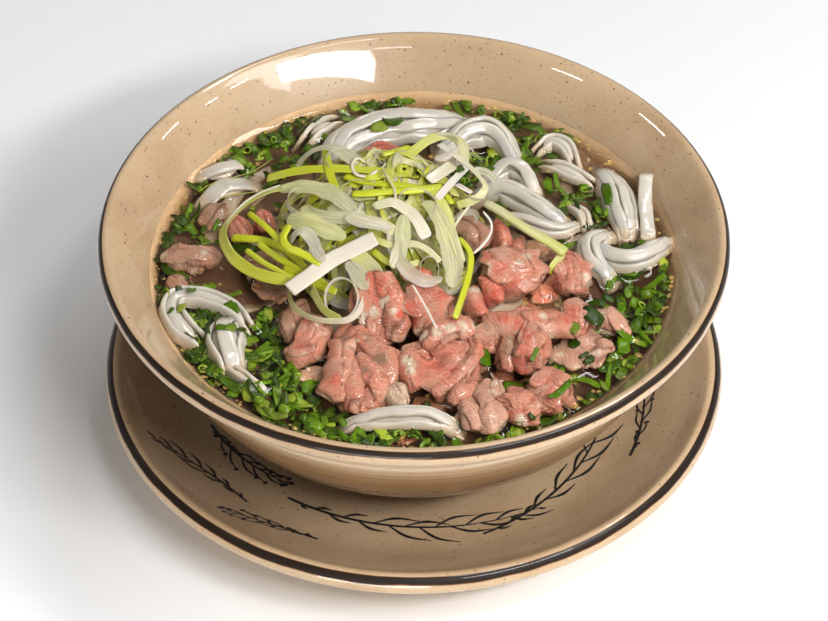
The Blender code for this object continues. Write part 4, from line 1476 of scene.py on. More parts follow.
    def _layers(self, fold: Fold) -> list[Fold]:
        """Lays thin sheets over both sides of a wide fold.

        Args:
            fold: The fold.

        Returns:
            One narrower fold a sheet, or none where the fold is slim.
        """
        route = smooth_route(fold.stations, 2.0)
        if fold.droop is not None or route[:, 3].max() < self.layered_from:
            return []
        _, sides, ups = travel_frame(route)
        made = []
        for side, first, last in ((1, 0.04, 0.78), (-1, 0.26, 0.97)):
            spots = route[:, :3] + sides * (side * 0.40 * route[:, 3])[:, None] + ups * 0.75
            waves = np.sin(np.arange(len(route)) * 1.3 + side + route[0, 0])
            shape = 0.52 * route[:, 3] * (0.9 + 0.25 * waves)
            start = int(first * len(route))
            kept = slice(start, max(int(last * len(route)), start + 4))
            made.append(Fold(1.0, tuple(map(tuple, np.column_stack([spots, shape])[kept].tolist()))))
        return made

    def _sunk(self) -> MeshBatch:
        """Lays further slices under the broth, between those that stand out of it.

        Returns:
            The batch that holds them.
        """
        chance = random.Random(self.sunk_seed)
        batch = MeshBatch(*MEAT_VALUES)
        for order in range(self.sunk_count):
            x, y = chance.uniform(-58, 50), chance.uniform(-72, 22)
            if math.hypot(x, y) > self.farthest_sunk:
                continue
            heading, depth = chance.uniform(0, math.tau), chance.uniform(1.6, 5.5)
            wide = chance.uniform(2.4, 5.0)
            stations = []
            for step in range(4):
                shape = (0.55, 1.0, 0.9, 0.5)[step]
                stations.append((x, y, self.levels.broth_z - depth + chance.uniform(-0.7, 0.5), wide * shape))
                heading += chance.uniform(-0.5, 0.5)
                x, y = x + self.sunk_pace * math.cos(heading), y + self.sunk_pace * math.sin(heading)
            piece = Slice("sunk", 1.8, chance.choice((Tone.DULL, Tone.PALE, Tone.PINK)), 0.3, ())
            points, faces, values = self._shell(piece, Fold(0.8, tuple(stations)), 90.0 + order, 90.0 + order)
            batch.add(points, faces, **values)
        return batch


# ------------------------------------------------------------------ rice noodles


@dataclass(frozen=True)
class NoodleFinish:
    """Soft white rice noodle, a little see-through and wet."""

    white: Colour = (0.620, 0.570, 0.490)
    grey: Colour = (0.520, 0.472, 0.400)
    soaked_and_shaded: Colour = (0.420, 0.320, 0.215)
    murk: Colour = (0.17, 0.095, 0.042)

    def build(self, effects: Effects) -> bpy.types.Material:
        """Makes the material.

        Args:
            effects: Shared groups.

        Returns:
            The material.
        """
        look = Finish("rice_noodle", self.white)
        shades = {"First": self.white, "Second": self.grey}
        blotch = look.group(effects.mottle, **shades, Scale=160.0, Low=0.5, High=0.8)
        streak = look.group(effects.fibres, Fineness=1.1, Stretch=0.07, Seed=2.0)
        colour = look.mix(look.times(streak["Mask"], 0.28), blotch["Colour"], self.grey)
        # partly painted shade: near the broth the noodle goes browner, for broth seen through it and for
        # shade at its base
        dry = look.ramp(look.axes()[2], effects.surface, effects.surface + 3.2 * MM)
        colour = look.mix(look.times(look.minus(1.0, dry), 0.5), colour, self.soaked_and_shaded)
        look.feed("Base Color", look.group(effects.steep, Colour=colour, Murk=self.murk)["Colour"])
        look.bump(streak["Height"], 0.3 * MM, 0.35)
        look.plain(roughness=0.24, coat_weight=0.8, coat_roughness=0.05)
        look.soften(0.7, 3.2 * MM, (1.0, 0.9, 0.7))
        return look.material


BUNDLES: tuple[Bundle, ...] = (
    Bundle("noodles_back", 4.4, (
        Fold(None, ((-29, 54, 69.6, 4), (-26, 61, 72.6, 5.8), (-17.6, 67.4, 74.4, 6.8),
            (-7, 70.8, 75.2, 7.4), (3, 71.2, 75, 6.8), (10.4, 73.4, 73, 4.2), (14.4, 76, 70, 2.4))),
    )),
    Bundle("noodles_back_lump", 3.6, (
        Fold(None, ((-38, 68.5, 68.6, 2), (-34.6, 72.6, 70, 2.6), (-30.4, 76.8, 69, 2))),
    )),
    Bundle("noodles_back_right", 4.2, (
        Fold(None, ((13, 61, 70.6, 2.6), (18.8, 66, 74, 4.2), (26, 68.4, 74.6, 4.8), (32, 64.6, 72.8, 3.4),
            (35.6, 57.6, 69.2, 2))),
    )),
    Bundle("noodles_ring", 3.2, (
        Fold(None, ((28.4, 45, 69.8, 1.8), (34, 48.4, 72.6, 2.4), (39.6, 45.6, 72.6, 2.4),
            (42.6, 39.6, 69, 1.7))),
    ), width=4.4),
    Bundle("noodles_wide", 3.4, (
        Fold(None, ((25.6, 36.5, 70.4, 2.2), (32, 36.4, 72.8, 3.8), (39, 31.8, 72.8, 4), (46, 26, 72, 3.5),
            (51.2, 22.6, 69.4, 2))),
    ), width=4.8),
    Bundle("noodles_thin", 2.8, (
        Fold(None, ((34.4, 23.4, 69.6, 1.3), (39.6, 20, 71.4, 1.9), (46.4, 16.6, 71.4, 2),
            (52.4, 16.4, 70.2, 1.8), (56.4, 19.6, 68.6, 1.3))),
    ), width=3.6, sink=0.3),
    Bundle("noodle_far_right", 3.0, (
        Fold(None, ((47, 62.6, 69, 1.6), (51, 65.2, 70.6, 2.3), (55.6, 61.6, 70.8, 2.4),
            (57.8, 54.6, 69, 1.7))),
    )),
    Bundle("noodle_mid_right", 3.0, (
        Fold(None, ((49.4, 52.6, 69, 1.6), (54, 49.6, 70.4, 2.4), (59, 45.8, 70.4, 2.4),
            (63, 43.4, 68.8, 1.6))),
    )),
    Bundle("noodles_comb", 3.2, (
        Fold(None, ((68.6, 47.4, 68.6, 2.4), (71.8, 39.4, 70, 5), (74.2, 29, 70, 5.2),
            (75.6, 19.4, 68.8, 3.6))),
    ), width=4.0),
    Bundle("noodle_edge", 2.8, (
        Fold(1.2, ((83.4, 39.6, 73.6, 1.3), (82.8, 34.6, 71.6, 1.8), (82.6, 28, 69.8, 1.9),
            (82.8, 21, 69, 1.9), (83, 15, 67.8, 1.3))),
    ), width=5.2),
    Bundle("noodles_fold", 3.4, (
        Fold(None, ((66, 13.8, 69.2, 3), (62.6, 8, 71.4, 4.2), (63, 0.6, 71.4, 4.2), (67, -5.6, 68.8, 2.4))),
        Fold(None, ((66, 5, 70.8, 2), (71, 0.4, 72, 3.1), (77.4, -0.4, 72.4, 3.1), (84, 4.4, 72, 2.9),
            (88, 9.6, 69.4, 1.8))),
    ), width=4.2),
    Bundle("noodle_small_right", 2.6, (
        Fold(None, ((57, 29.6, 68.6, 1.2), (60, 26, 69.6, 1.8), (61.4, 20.4, 68.6, 1.3))),
    ), width=3.6, sink=0.4),
    Bundle("noodles_left_loop", 3.4, (
        Fold(None, ((-58, -30.6, 69, 1.6), (-62, -25.4, 71, 2.4), (-68, -21, 71.8, 2.7),
            (-75, -18.2, 72, 2.7), (-81.4, -18.4, 71.8, 2.8), (-83.8, -23.4, 71.6, 3),
            (-82, -29.6, 71.4, 3.6), (-78.6, -34.6, 70.6, 3.8), (-74, -38.8, 68.8, 2.7))),
    ), width=6.0),
    Bundle("noodles_left_bundle", 4.0, (
        Fold(None, ((-64.4, -32.4, 70, 3), (-64.6, -36.6, 72.4, 5.2), (-64, -43, 72, 5.2),
            (-62, -49, 69, 3.4))),
    ), width=6.4),
    Bundle("noodle_left_tail", 2.4, (
        Fold(None, ((-61.4, -53, 68.6, 1.2), (-58, -56.2, 69, 1.7), (-54, -59.4, 68, 1.2))),
    )),
    Bundle("noodles_front", 3.2, (
        Fold(None, ((-20, -78, 68.6, 1.6), (-12, -76.6, 71, 3), (-3, -76, 71.8, 3.7), (5, -76.6, 71.4, 3.6),
            (11.4, -78.4, 69, 2.2))),
    ), width=4.4, sink=1.1),
    Bundle("noodles_back_left", 3.4, (
        Fold(None, ((-76, 46.6, 68.2, 2), (-70.4, 48, 69.8, 3.8), (-64.6, 51.6, 68.6, 2.2))),
    ), width=6.8, sink=0.8),
    Bundle("noodles_left_back", 3.4, (
        Fold(None, ((-74, 33.6, 68, 2.2), (-68.6, 38.6, 69.8, 3.8), (-61, 40.8, 69, 2.6))),
    ), width=6.8, sink=0.8),
)


@dataclass(frozen=True)
class Noodles:
    """Flat rice noodles, some over the broth and many under it."""

    levels: Levels
    effects: Effects
    thickness: float = 2.1
    step: float = 1.0
    around: int = 16
    outermost: float = 66.0
    overlap: float = 0.74
    below_broth: float = 1.2
    dive: float = 9.0
    dive_length: float = 7.5
    sunk_count: int = 44
    sunk_seed: int = 21
    sunk_pace: float = 6.0
    sunk_width: float = 5.6
    farthest_sunk: float = 76.0

    def _strand(self, batch: MeshBatch, centres: np.ndarray, ups: np.ndarray, width: float,
                seed: float) -> None:
        """Adds one strand.

        Args:
            batch: Batch that it joins.
            centres: Its middle line.
            ups: Direction through it.
            width: Its width in millimetres.
            seed: Picks its unevenness.
        """
        ahead = unit(np.gradient(centres, axis=0))
        sides = unit(np.cross(ahead, ups))
        ups = np.cross(sides, ahead)
        gone = lengths_along(centres)
        close = end_taper(gone, width * 0.9, 0.3)
        trace = np.column_stack([gone, np.full(len(gone), seed * 9), np.zeros(len(gone))])
        half = width / 2 * close * (1 + 0.10 * swell(trace, 6.0, seed))
        thick = self.thickness / 2 * close * (1 + 0.15 * swell(trace, 5.0, seed + 3))
        lift = 0.25 * swell(trace, 4.0, seed + 7)
        section = flat_section(self.around, 0.8)
        points = sweep(centres + ups * lift[:, None], sides, ups, half, thick, section, 0.06)
        batch.add(
            points, tube_faces(len(centres), self.around), along=np.repeat(gone, self.around),
            across=np.tile(section[:, 0] * width / 2 + seed * 5, len(centres)),
        )

    def _follow(self, batch: MeshBatch, fold: Fold, bundle: Bundle, seed: float) -> None:
        """Lays strands side by side over a fold and lets their ends dive.

        Args:
            batch: Batch that they join.
            fold: The fold.
            bundle: The bundle that it belongs to.
            seed: Picks their unevenness.
        """
        route = smooth_route(fold.stations, self.step) - np.array([0.0, 0.0, bundle.sink, 0.0])
        ahead, side, up = travel_frame(route)
        hang = route[:, 2] - (self.levels.broth_z - self.below_broth)
        if fold.droop is not None:
            hang = np.full(len(route), fold.droop)
        half = float(np.median(route[:, 3]))
        arc = math.pi * math.sqrt((half**2 + float(np.median(hang)) ** 2) / 2) * 0.8
        count = max(1, round(arc / (bundle.width * self.overlap)))
        turns = [0.0] if count == 1 else np.linspace(-self.outermost, self.outermost, count)
        gone = lengths_along(route)
        close = end_taper(gone, 3.0, 0.3)
        inner = sweep(
            route[:, :3] - up * (hang / 2 + 0.5)[:, None], side, up, (route[:, 3] - 0.7) * close,
            (np.abs(hang) / 2 - 0.3) * close, flat_section(self.around, 0.8),
        )
        batch.add(inner, tube_faces(len(route), self.around), along=np.repeat(gone, self.around))
        for order, degrees in enumerate(turns):
            trace = np.column_stack([gone, np.full(len(route), order * 11.0), np.zeros(len(route))])
            turn = np.radians(degrees + 9 * swell(trace, 9.0, seed + order))
            middle = side * (route[:, 3] * np.sin(turn))[:, None] - up * (hang * (1 - np.cos(turn)))[:, None]
            outward = unit(up * (route[:, 3] * np.cos(turn))[:, None] + side * (hang * np.sin(turn))[:, None])
            inset = bundle.thickness / 2 - self.thickness / 2 - 0.25 * (order % 2)
            centres = route[:, :3] + middle + outward * inset
            head = self._dive(centres[0], -ahead[0], seed + order)
            tail = self._dive(centres[-1], ahead[-1], seed + order + 5)
            whole = np.vstack([head[::-1], centres, tail])
            first, last = np.repeat(outward[:1], len(head), 0), np.repeat(outward[-1:], len(tail), 0)
            ups = np.vstack([first, outward, last])
            smooth = smooth_route([tuple(p) for p in np.hstack([whole, ups])[::2]], self.step)
            width = bundle.width * (0.92 + 0.1 * math.sin(seed + order))
            self._strand(batch, smooth[:, :3], unit(smooth[:, 3:6]), width, seed + order)

    def _dive(self, start: np.ndarray, direction: np.ndarray, seed: float) -> np.ndarray:
        """Carries an end on under the broth.

        Args:
            start: Last point over the broth.
            direction: The way it was going.
            seed: Picks how it bends.

        Returns:
            Further points.
        """
        flat = unit(np.array([direction[0], direction[1], 0.0]))
        bend = np.array([-flat[1], flat[0], 0.0]) * math.sin(seed * 7.3) * 0.2
        shares = np.linspace(0.2, 1, 5)[:, None]
        way = flat * self.dive_length * shares + bend * self.dive_length * shares**2
        way[:, 2] = -self.dive * shares[:, 0] ** 1.15
        return start + way

    def _sunk(self, batch: MeshBatch) -> None:
        """Winds strands through the broth under the rest."""
        chance = random.Random(self.sunk_seed)
        for order in range(self.sunk_count):
            angle = chance.uniform(0, math.tau)
            radius = chance.uniform(20, 74)
            heading = angle + math.pi / 2 + chance.uniform(-0.9, 0.9)
            depth = chance.uniform(2.2, 9.0)
            spot = np.array([radius * math.cos(angle), radius * math.sin(angle)])
            bend = chance.uniform(-0.30, 0.30)
            stations = []
            for step in range(chance.randint(5, 9)):
                height = self.levels.broth_z - depth - 1.4 * math.sin(step * 1.1 + order)
                stations.append((spot[0], spot[1], height))
                heading += bend + chance.uniform(-0.25, 0.25)
                spot = spot + self.sunk_pace * np.array([math.cos(heading), math.sin(heading)])
                if np.hypot(*spot) > self.farthest_sunk:
                    spot = spot * (self.farthest_sunk / np.hypot(*spot))
            route = smooth_route(stations, self.step * 1.3)
            tilt = unit(np.array([0.35 * math.sin(order), 0.35 * math.cos(order * 1.7), 1.0]))
            ups = np.repeat(tilt[None, :], len(route), 0)
            self._strand(batch, route, ups, self.sunk_width, 60.0 + order)

    def build(self) -> list[bpy.types.Object]:
        """Makes every bundle and the sunk strands.

        Returns:
            The pieces.
        """
        finish = NoodleFinish().build(self.effects)
        made = []
        for order, bundle in enumerate(BUNDLES):
            batch = MeshBatch("across", "along")
            for number, fold in enumerate(bundle.folds):
                self._follow(batch, fold, bundle, order * 2.3 + number * 0.7)
            made.append(settle(batch.build(bundle.name + "_strands", finish), "rice_noodle", bundle.name))
        sunk = MeshBatch("across", "along")
        self._sunk(sunk)
        made.append(settle(sunk.build("sunk_noodles", finish), "rice_noodle"))
        return made


# ------------------------------------------------------------------ scallion


class Hue(Enum):
    """Shares of lime and of white at a point of a shred; the rest is olive."""

    LIME = (1.0, 0.0)
    OLIVE = (0.25, 0.18)
    PALE = (0.22, 0.60)
    WHITE = (0.0, 1.0)
    GREEN = (0.75, 0.05)


class Cut(Enum):
    """Ways of cutting: four shares of a shred's width.

    Its thickness, how far its edges curl up, the length over which its ends narrow, and what is left of
    the width at the very end.
    """

    LEAF = (0.05, 0.22, 1.3, 0.12)
    RIBBON = (0.12, 0.10, 0.4, 0.75)
    STRIP = (0.13, 0.03, 0.12, 0.93)
    STEM = (0.50, 0.0, 0.4, 0.75)
    FIBRE = (0.60, 0.0, 2.0, 0.08)


@dataclass(frozen=True)
class Shred:
    """One shred of scallion.

    Attributes:
        cut: How it is cut.
        width: Its width in millimetres.
        first: Its colour at the start.
        last: Its colour at the end.
        route: Its route: x, y, z.
        roll: Degrees that it is rolled about its route, at the start and at the end.
    """

    cut: Cut
    width: float
    first: Hue
    last: Hue
    route: tuple[Station, ...]
    roll: tuple[float, float] = (0.0, 0.0)


@dataclass(frozen=True)
class ScallionFinish:
    """Shredded scallion: lime to white, striped by its fibres and a little see-through."""

    lime: Colour = (0.600, 0.640, 0.004)
    olive: Colour = (0.500, 0.480, 0.115)
    white: Colour = (0.800, 0.730, 0.640)
    rib: Colour = (0.560, 0.500, 0.360)
    vein: Colour = (0.400, 0.410, 0.040)
    thinnest: float = 0.5

    def build(self, effects: Effects, name: str, thin: bool) -> bpy.types.Material:
        """Makes the material.

        Args:
            effects: Shared groups.
            name: Name of the finish.
            thin: Whether light passes between its fibres.

        Returns:
            The material.
        """
        look = Finish(name, self.lime)
        shades = {"First": self.olive, "Second": self.lime}
        blotch = look.group(effects.mottle, **shades, Scale=130.0, Low=0.52, High=0.85)
        stripes = look.group(effects.fibres, Fineness=4.2 if thin else 2.4, Stretch=0.06, Seed=7.0)
        white = look.attribute("white")
        colour = look.mix(look.attribute("lime"), blotch["Colour"], self.lime)
        colour = look.mix(white, colour, self.white)
        darker = look.mix(0.5, colour, look.mix(white, self.vein, self.rib))
        colour = look.mix(look.times(stripes["Mask"], 0.55), darker, colour)
        look.feed("Base Color", look.group(effects.steep, Colour=colour)["Colour"])
        look.bump(stripes["Height"], (0.25 if thin else 0.4) * MM, 0.6)
        if thin:
            look.feed("Alpha", look.plus(self.thinnest, look.times(stripes["Mask"], 0.42)))
        look.plain(roughness=0.3, coat_weight=0.25, coat_roughness=0.1)
        look.soften(0.35, 1.5 * MM, (0.9, 1.0, 0.25))
        return look.material


SHREDS: tuple[Shred, ...] = (
    Shred(Cut.STEM, 2.2, Hue.LIME, Hue.GREEN, ((-58.5, -3.3, 77), (-52.6, -9.5, 77), (-46.2, -14.7, 77),
        (-39.8, -20.8, 77))),
    Shred(Cut.STEM, 2.4, Hue.LIME, Hue.LIME, ((-54.4, -0.8, 78), (-48.1, -7.5, 78), (-42.1, -12.2, 77.5),
        (-35.7, -19.2, 77.5), (-30.4, -24.2, 77.5))),
    Shred(Cut.RIBBON, 2.6, Hue.LIME, Hue.LIME, ((-45.2, -13.2, 77.6), (-39.2, -17, 77.3),
        (-32.9, -21, 77.3), (-26.6, -25.5, 77.8)), (20, 0)),
    Shred(Cut.RIBBON, 3.0, Hue.OLIVE, Hue.OLIVE, ((-35, -24.7, 79), (-32.8, -30.7, 79), (-30, -35.6, 78.5),
        (-25.1, -39.5, 78)), (30, 10)),
    Shred(Cut.STEM, 3.0, Hue.LIME, Hue.LIME, ((-63.8, 5.1, 75), (-57.4, 2.4, 77), (-50.5, -0.4, 78),
        (-41.9, -7.6, 78), (-36.1, -16, 77.4), (-29.1, -23.4, 77.6))),
    Shred(Cut.STEM, 2.2, Hue.LIME, Hue.LIME, ((-58, 12.6, 80), (-52, 3.6, 82), (-46.9, -3.6, 82))),
    Shred(Cut.STEM, 2.8, Hue.LIME, Hue.LIME, ((-43.4, -0.3, 86), (-45.3, -5.4, 84.5), (-43.1, -9.9, 84),
        (-39.6, -12, 84), (-32, -17, 83))),
    Shred(Cut.LEAF, 6.0, Hue.PALE, Hue.PALE, ((-41.7, 26.5, 87), (-38.6, 31.8, 89), (-34.1, 34.9, 90),
        (-28.4, 34.9, 90.5), (-22.6, 29.4, 91), (-18.3, 24.1, 91)), (-20, 10)),
    Shred(Cut.LEAF, 6.4, Hue.PALE, Hue.OLIVE, ((-21.5, 2, 90), (-25.8, 7.7, 90.5), (-32.1, 13, 90),
        (-40, 16.3, 88.5), (-47.1, 18, 86)), (10, -15)),
    Shred(Cut.RIBBON, 4.4, Hue.LIME, Hue.LIME, ((-52, 26.2, 84), (-42, 25.4, 88), (-29.9, 23.5, 91),
        (-15.5, 21.9, 91.5), (-2.1, 20.3, 91)), (10, 0)),
    Shred(Cut.RIBBON, 2.8, Hue.LIME, Hue.LIME, ((-31.7, 38.3, 89), (-30.7, 29.4, 91), (-29.9, 22.4, 92),
        (-28, 14.4, 91.5), (-26.5, 8.8, 90)), (0, 10)),
    Shred(Cut.STEM, 3.4, Hue.LIME, Hue.LIME, ((-24.3, 20.9, 90), (-17.2, 17.2, 90.5), (-10.2, 15.5, 91),
        (-3.2, 14.5, 91), (3.8, 12.9, 90.5))),
    Shred(Cut.RIBBON, 4.6, Hue.LIME, Hue.OLIVE, ((2.1, 25.2, 90), (6.3, 19.9, 90), (11.2, 18.3, 89.5),
        (14.6, 12, 88.5)), (10, -10)),
    Shred(Cut.STEM, 3.2, Hue.LIME, Hue.LIME, ((-21.6, 10.3, 91), (-15.3, 9.7, 92), (-9.1, 10.2, 92),
        (0.3, 11.2, 92), (10.1, 15.1, 90))),
    Shred(Cut.LEAF, 4.8, Hue.OLIVE, Hue.PALE, ((-38.7, 8.5, 87), (-35.5, 3.7, 87.5), (-29.2, 1.1, 88),
        (-22.2, 0.5, 88.5), (-16.7, 2.1, 89)), (-20, 20)),
    Shred(Cut.LEAF, 7.4, Hue.OLIVE, Hue.OLIVE, ((-44.2, 2.8, 86), (-38.5, -1, 88), (-32.5, -4.1, 88),
        (-23.5, -8.1, 87)), (15, -10)),
    Shred(Cut.LEAF, 4.4, Hue.PALE, Hue.WHITE, ((-42.1, -9.6, 86), (-40.7, -6.6, 87.5), (-37.6, -6.1, 88),
        (-34.8, -9.6, 87), (-33, -14.1, 86), (-30.2, -18.1, 85)), (-30, 20)),
    Shred(Cut.RIBBON, 4.4, Hue.PALE, Hue.PALE, ((-29.3, 7.9, 88), (-24, 2.6, 88.5), (-18, -1, 89),
        (-11.8, -3.7, 89.5), (-6.6, -7.2, 89)), (0, 20)),
    Shred(Cut.LEAF, 4.2, Hue.PALE, Hue.WHITE, ((-23.9, -0.1, 90), (-18.7, -3.7, 90.5), (-13.1, -5.8, 90.5),
        (-7.6, -6.3, 90)), (20, -10)),
    Shred(Cut.RIBBON, 5.4, Hue.OLIVE, Hue.PALE, ((-21.4, -12.5, 84.5), (-17.2, -15.5, 83.5),
        (-13.8, -19.5, 82.5), (-11.7, -25.4, 81.5)), (0, 30)),
    Shred(Cut.LEAF, 6.2, Hue.PALE, Hue.PALE, ((-23.4, -16, 83), (-19.2, -20.9, 82), (-16.4, -26.8, 80)),
        (-10, 10)),
    Shred(Cut.RIBBON, 3.6, Hue.WHITE, Hue.WHITE, ((-29.4, -34.2, 78), (-26.5, -37.3, 76.7),
        (-22.7, -37.3, 76.7), (-19.8, -34.2, 78), (-19.1, -29.5, 80), (-21, -25.3, 81.8),
        (-24.6, -23.7, 82.5), (-28.2, -25.3, 81.8), (-30.1, -29.5, 80), (-29.4, -34.2, 78),
        (-26.5, -37.3, 76.7)), (78, 84)),
    Shred(Cut.RIBBON, 1.8, Hue.PALE, Hue.PALE, ((-10, 28.8, 91.8), (-11.4, 31, 92.2), (-13.6, 31.8, 92.3),
        (-15.7, 30.7, 92.1), (-16.9, 28.3, 91.7), (-16.7, 25.4, 91.2), (-15.2, 23.2, 90.8),
        (-13, 22.6, 90.7), (-10.9, 23.9, 90.9), (-9.9, 26.4, 91.4)), (60, 70)),
    Shred(Cut.STEM, 2.6, Hue.LIME, Hue.LIME, ((-11.3, 29.9, 92), (-6.4, 32.6, 91.5), (-1.5, 36.6, 90))),
    Shred(Cut.FIBRE, 1.3, Hue.PALE, Hue.WHITE, ((-16.9, 25.6, 92), (-19.8, 27.9, 92.3), (-21.8, 24.5, 92),
        (-20.3, 19.7, 92), (-16.1, 18.4, 92.2), (-12.7, 21.3, 92.5))),
    Shred(Cut.FIBRE, 1.0, Hue.PALE, Hue.PALE, ((-10.9, 22.3, 92.5), (-9.1, 16.4, 93), (-7, 11.2, 93),
        (-6.3, 5.4, 92.5))),
    Shred(Cut.RIBBON, 4.2, Hue.LIME, Hue.PALE, ((-4.3, 24.6, 91), (-2.2, 30.5, 91), (2.1, 35.9, 91),
        (6, 39.8, 91), (10.3, 42.6, 90), (14.2, 42.1, 89.5), (16.7, 39.4, 89), (17.7, 34.5, 88.5),
        (17.3, 29.1, 88)), (0, 25)),
    Shred(Cut.RIBBON, 3.0, Hue.WHITE, Hue.OLIVE, ((8.8, 37, 91), (13.4, 32.1, 91), (18, 27.9, 90),
        (22.1, 23.1, 89), (24.9, 19, 87.5), (24.5, 17.5, 86), (22.8, 15.5, 85), (19.6, 13.4, 84.5),
        (15, 11.2, 85)), (20, -20)),
    Shred(Cut.RIBBON, 4.4, Hue.WHITE, Hue.PALE, ((5.2, 16, 92), (9.4, 20.2, 92), (13.7, 25.7, 91))),
    Shred(Cut.RIBBON, 2.6, Hue.WHITE, Hue.WHITE, ((8, 7.6, 91), (13.3, 16.6, 91), (18.6, 25.7, 90))),
    Shred(Cut.STEM, 2.4, Hue.LIME, Hue.LIME, ((9.1, 16.8, 89), (11.5, 12, 88.5), (13.2, 8.4, 88))),
    Shred(Cut.RIBBON, 2.8, Hue.WHITE, Hue.WHITE, ((15, 16.7, 90), (17.8, 14.6, 89.5), (20.2, 13.1, 89))),
    Shred(Cut.RIBBON, 3.6, Hue.LIME, Hue.PALE, ((5.5, 13.4, 91), (9, 7.7, 90.5), (11.7, 1.5, 89),
        (13.1, -5, 87), (15.1, -11.5, 84.5), (16.5, -15.4, 82.5)), (15, -10)),
    Shred(Cut.LEAF, 7.0, Hue.OLIVE, Hue.PALE, ((3.4, 6.6, 91), (6.9, 1.5, 90), (10, -4.6, 88),
        (12, -11, 85), (13.4, -18.4, 82.5), (13.3, -26.9, 81)), (0, 20)),
    Shred(Cut.RIBBON, 4.4, Hue.PALE, Hue.WHITE, ((-13.9, 2.3, 92), (-10.4, 3.9, 92), (-7, 4.4, 92),
        (-2.1, 1.4, 91), (1.3, -2.7, 90), (4.4, -8.1, 87)), (-15, 25)),
    Shred(Cut.LEAF, 5.6, Hue.OLIVE, Hue.PALE, ((-3.5, 0.4, 90.5), (-3.8, -5.7, 89.5), (-4.2, -11.2, 88),
        (-5.5, -16.7, 86.5), (-7.6, -20.6, 84.5)), (0, -25)),
    Shred(Cut.RIBBON, 2.6, Hue.OLIVE, Hue.PALE, ((-14.5, -7.6, 87.5), (-10.3, -11.2, 87.5),
        (-5.5, -12.2, 87), (-0, -11.2, 87), (4.8, -13.1, 86), (8.9, -17, 84))),
    Shred(Cut.RIBBON, 2.2, Hue.LIME, Hue.OLIVE, ((-14.5, -11.5, 84.5), (-9, -17.6, 84.5),
        (-3.5, -19.6, 84.5), (2, -17.6, 84.5))),
    Shred(Cut.LEAF, 5.0, Hue.PALE, Hue.WHITE, ((-7.6, -5.7, 89), (-6.6, -12.2, 87), (-4.8, -18.2, 86),
        (-1.7, -22.6, 85), (2, -25.6, 84.5), (6.1, -26.1, 84), (9.9, -24.5, 83.5)), (10, 50)),
    Shred(Cut.RIBBON, 2.2, Hue.WHITE, Hue.WHITE, ((2, -22.7, 82.7), (3.6, -25.2, 81.4), (5.9, -25.6, 81.2),
        (7.9, -23.6, 82.2), (8.4, -20.4, 83.9), (7.2, -17.5, 85.4), (4.9, -16.5, 85.9), (2.7, -17.9, 85.2),
        (1.8, -20.9, 83.6), (2.6, -24.1, 82)), (70, 80)),
    Shred(Cut.FIBRE, 1.0, Hue.WHITE, Hue.WHITE, ((24, 8.1, 85), (26.8, 4, 83.5), (26.7, 0, 82),
        (24.2, -4.6, 81), (20.4, -9.7, 81))),
    Shred(Cut.FIBRE, 0.9, Hue.WHITE, Hue.WHITE, ((-0.7, -27, 83), (3.7, -36.8, 82), (7.7, -47, 81))),
    Shred(Cut.FIBRE, 1.0, Hue.WHITE, Hue.PALE, ((12.8, -3.9, 86), (15.2, 0.7, 87), (18.1, 5.8, 87.5),
        (19.5, 8.4, 87.5))),
    Shred(Cut.RIBBON, 1.7, Hue.GREEN, Hue.GREEN, ((-77.6, 35.7, 69.5), (-72.8, 39.5, 70),
        (-65.7, 42.2, 70.5), (-58.6, 45.5, 70.5), (-52.3, 52.1, 70))),
    Shred(Cut.RIBBON, 1.6, Hue.GREEN, Hue.GREEN, ((-70.1, 29.6, 71.5), (-65.1, 31.2, 72), (-59.4, 32.3, 72),
        (-53.4, 33.9, 72))),
)

@dataclass(frozen=True)
class Curl:
    """A thin leaf curled up on the heap.

    Attributes:
        x: Millimetres to the right of the bowl's middle.
        y: Millimetres to the back.
        z: Height over the table.
        radius: Radius of the curl.
        first: Degrees from +X where it starts.
        swing: Degrees that it goes round.
        width: Width of the leaf.
    """

    x: float
    y: float
    z: float
    radius: float
    first: float
    swing: float
    width: float

    def shred(self, order: int) -> Shred:
        """Gives the shred that runs round the curl.

        Args:
            order: Its place in the table.

        Returns:
            The shred.
        """
        turns = np.radians(self.first + self.swing * np.linspace(0, 1, 9))
        route = np.column_stack([
            self.x + self.radius * np.cos(turns), self.y + self.radius * np.sin(turns),
            self.z + 1.6 * np.sin(turns * 0.8 + order),
        ])
        hue = Hue.WHITE if order % 2 else Hue.PALE
        return Shred(Cut.LEAF, self.width, hue, Hue.WHITE, tuple(map(tuple, route.tolist())), (50.0, 70.0))


CURLS: tuple[Curl, ...] = (
    Curl(22.5, 20.0, 86.5, 6.2, 120.0, -255.0, 2.6), Curl(13.2, 9.5, 87.5, 7.0, 40.0, 230.0, 3.0),
    Curl(17.6, 3.5, 84.5, 4.6, 200.0, -240.0, 2.2), Curl(9.2, 36.0, 90.0, 6.4, 250.0, 220.0, 2.6),
    Curl(19.0, 31.0, 88.5, 5.2, 10.0, 250.0, 2.0), Curl(-24.0, 27.0, 90.5, 7.0, 20.0, 200.0, 3.0),
    Curl(-38.0, 10.0, 87.0, 6.0, 100.0, 210.0, 2.8), Curl(1.0, 5.0, 90.5, 6.6, 300.0, 230.0, 3.0),
)

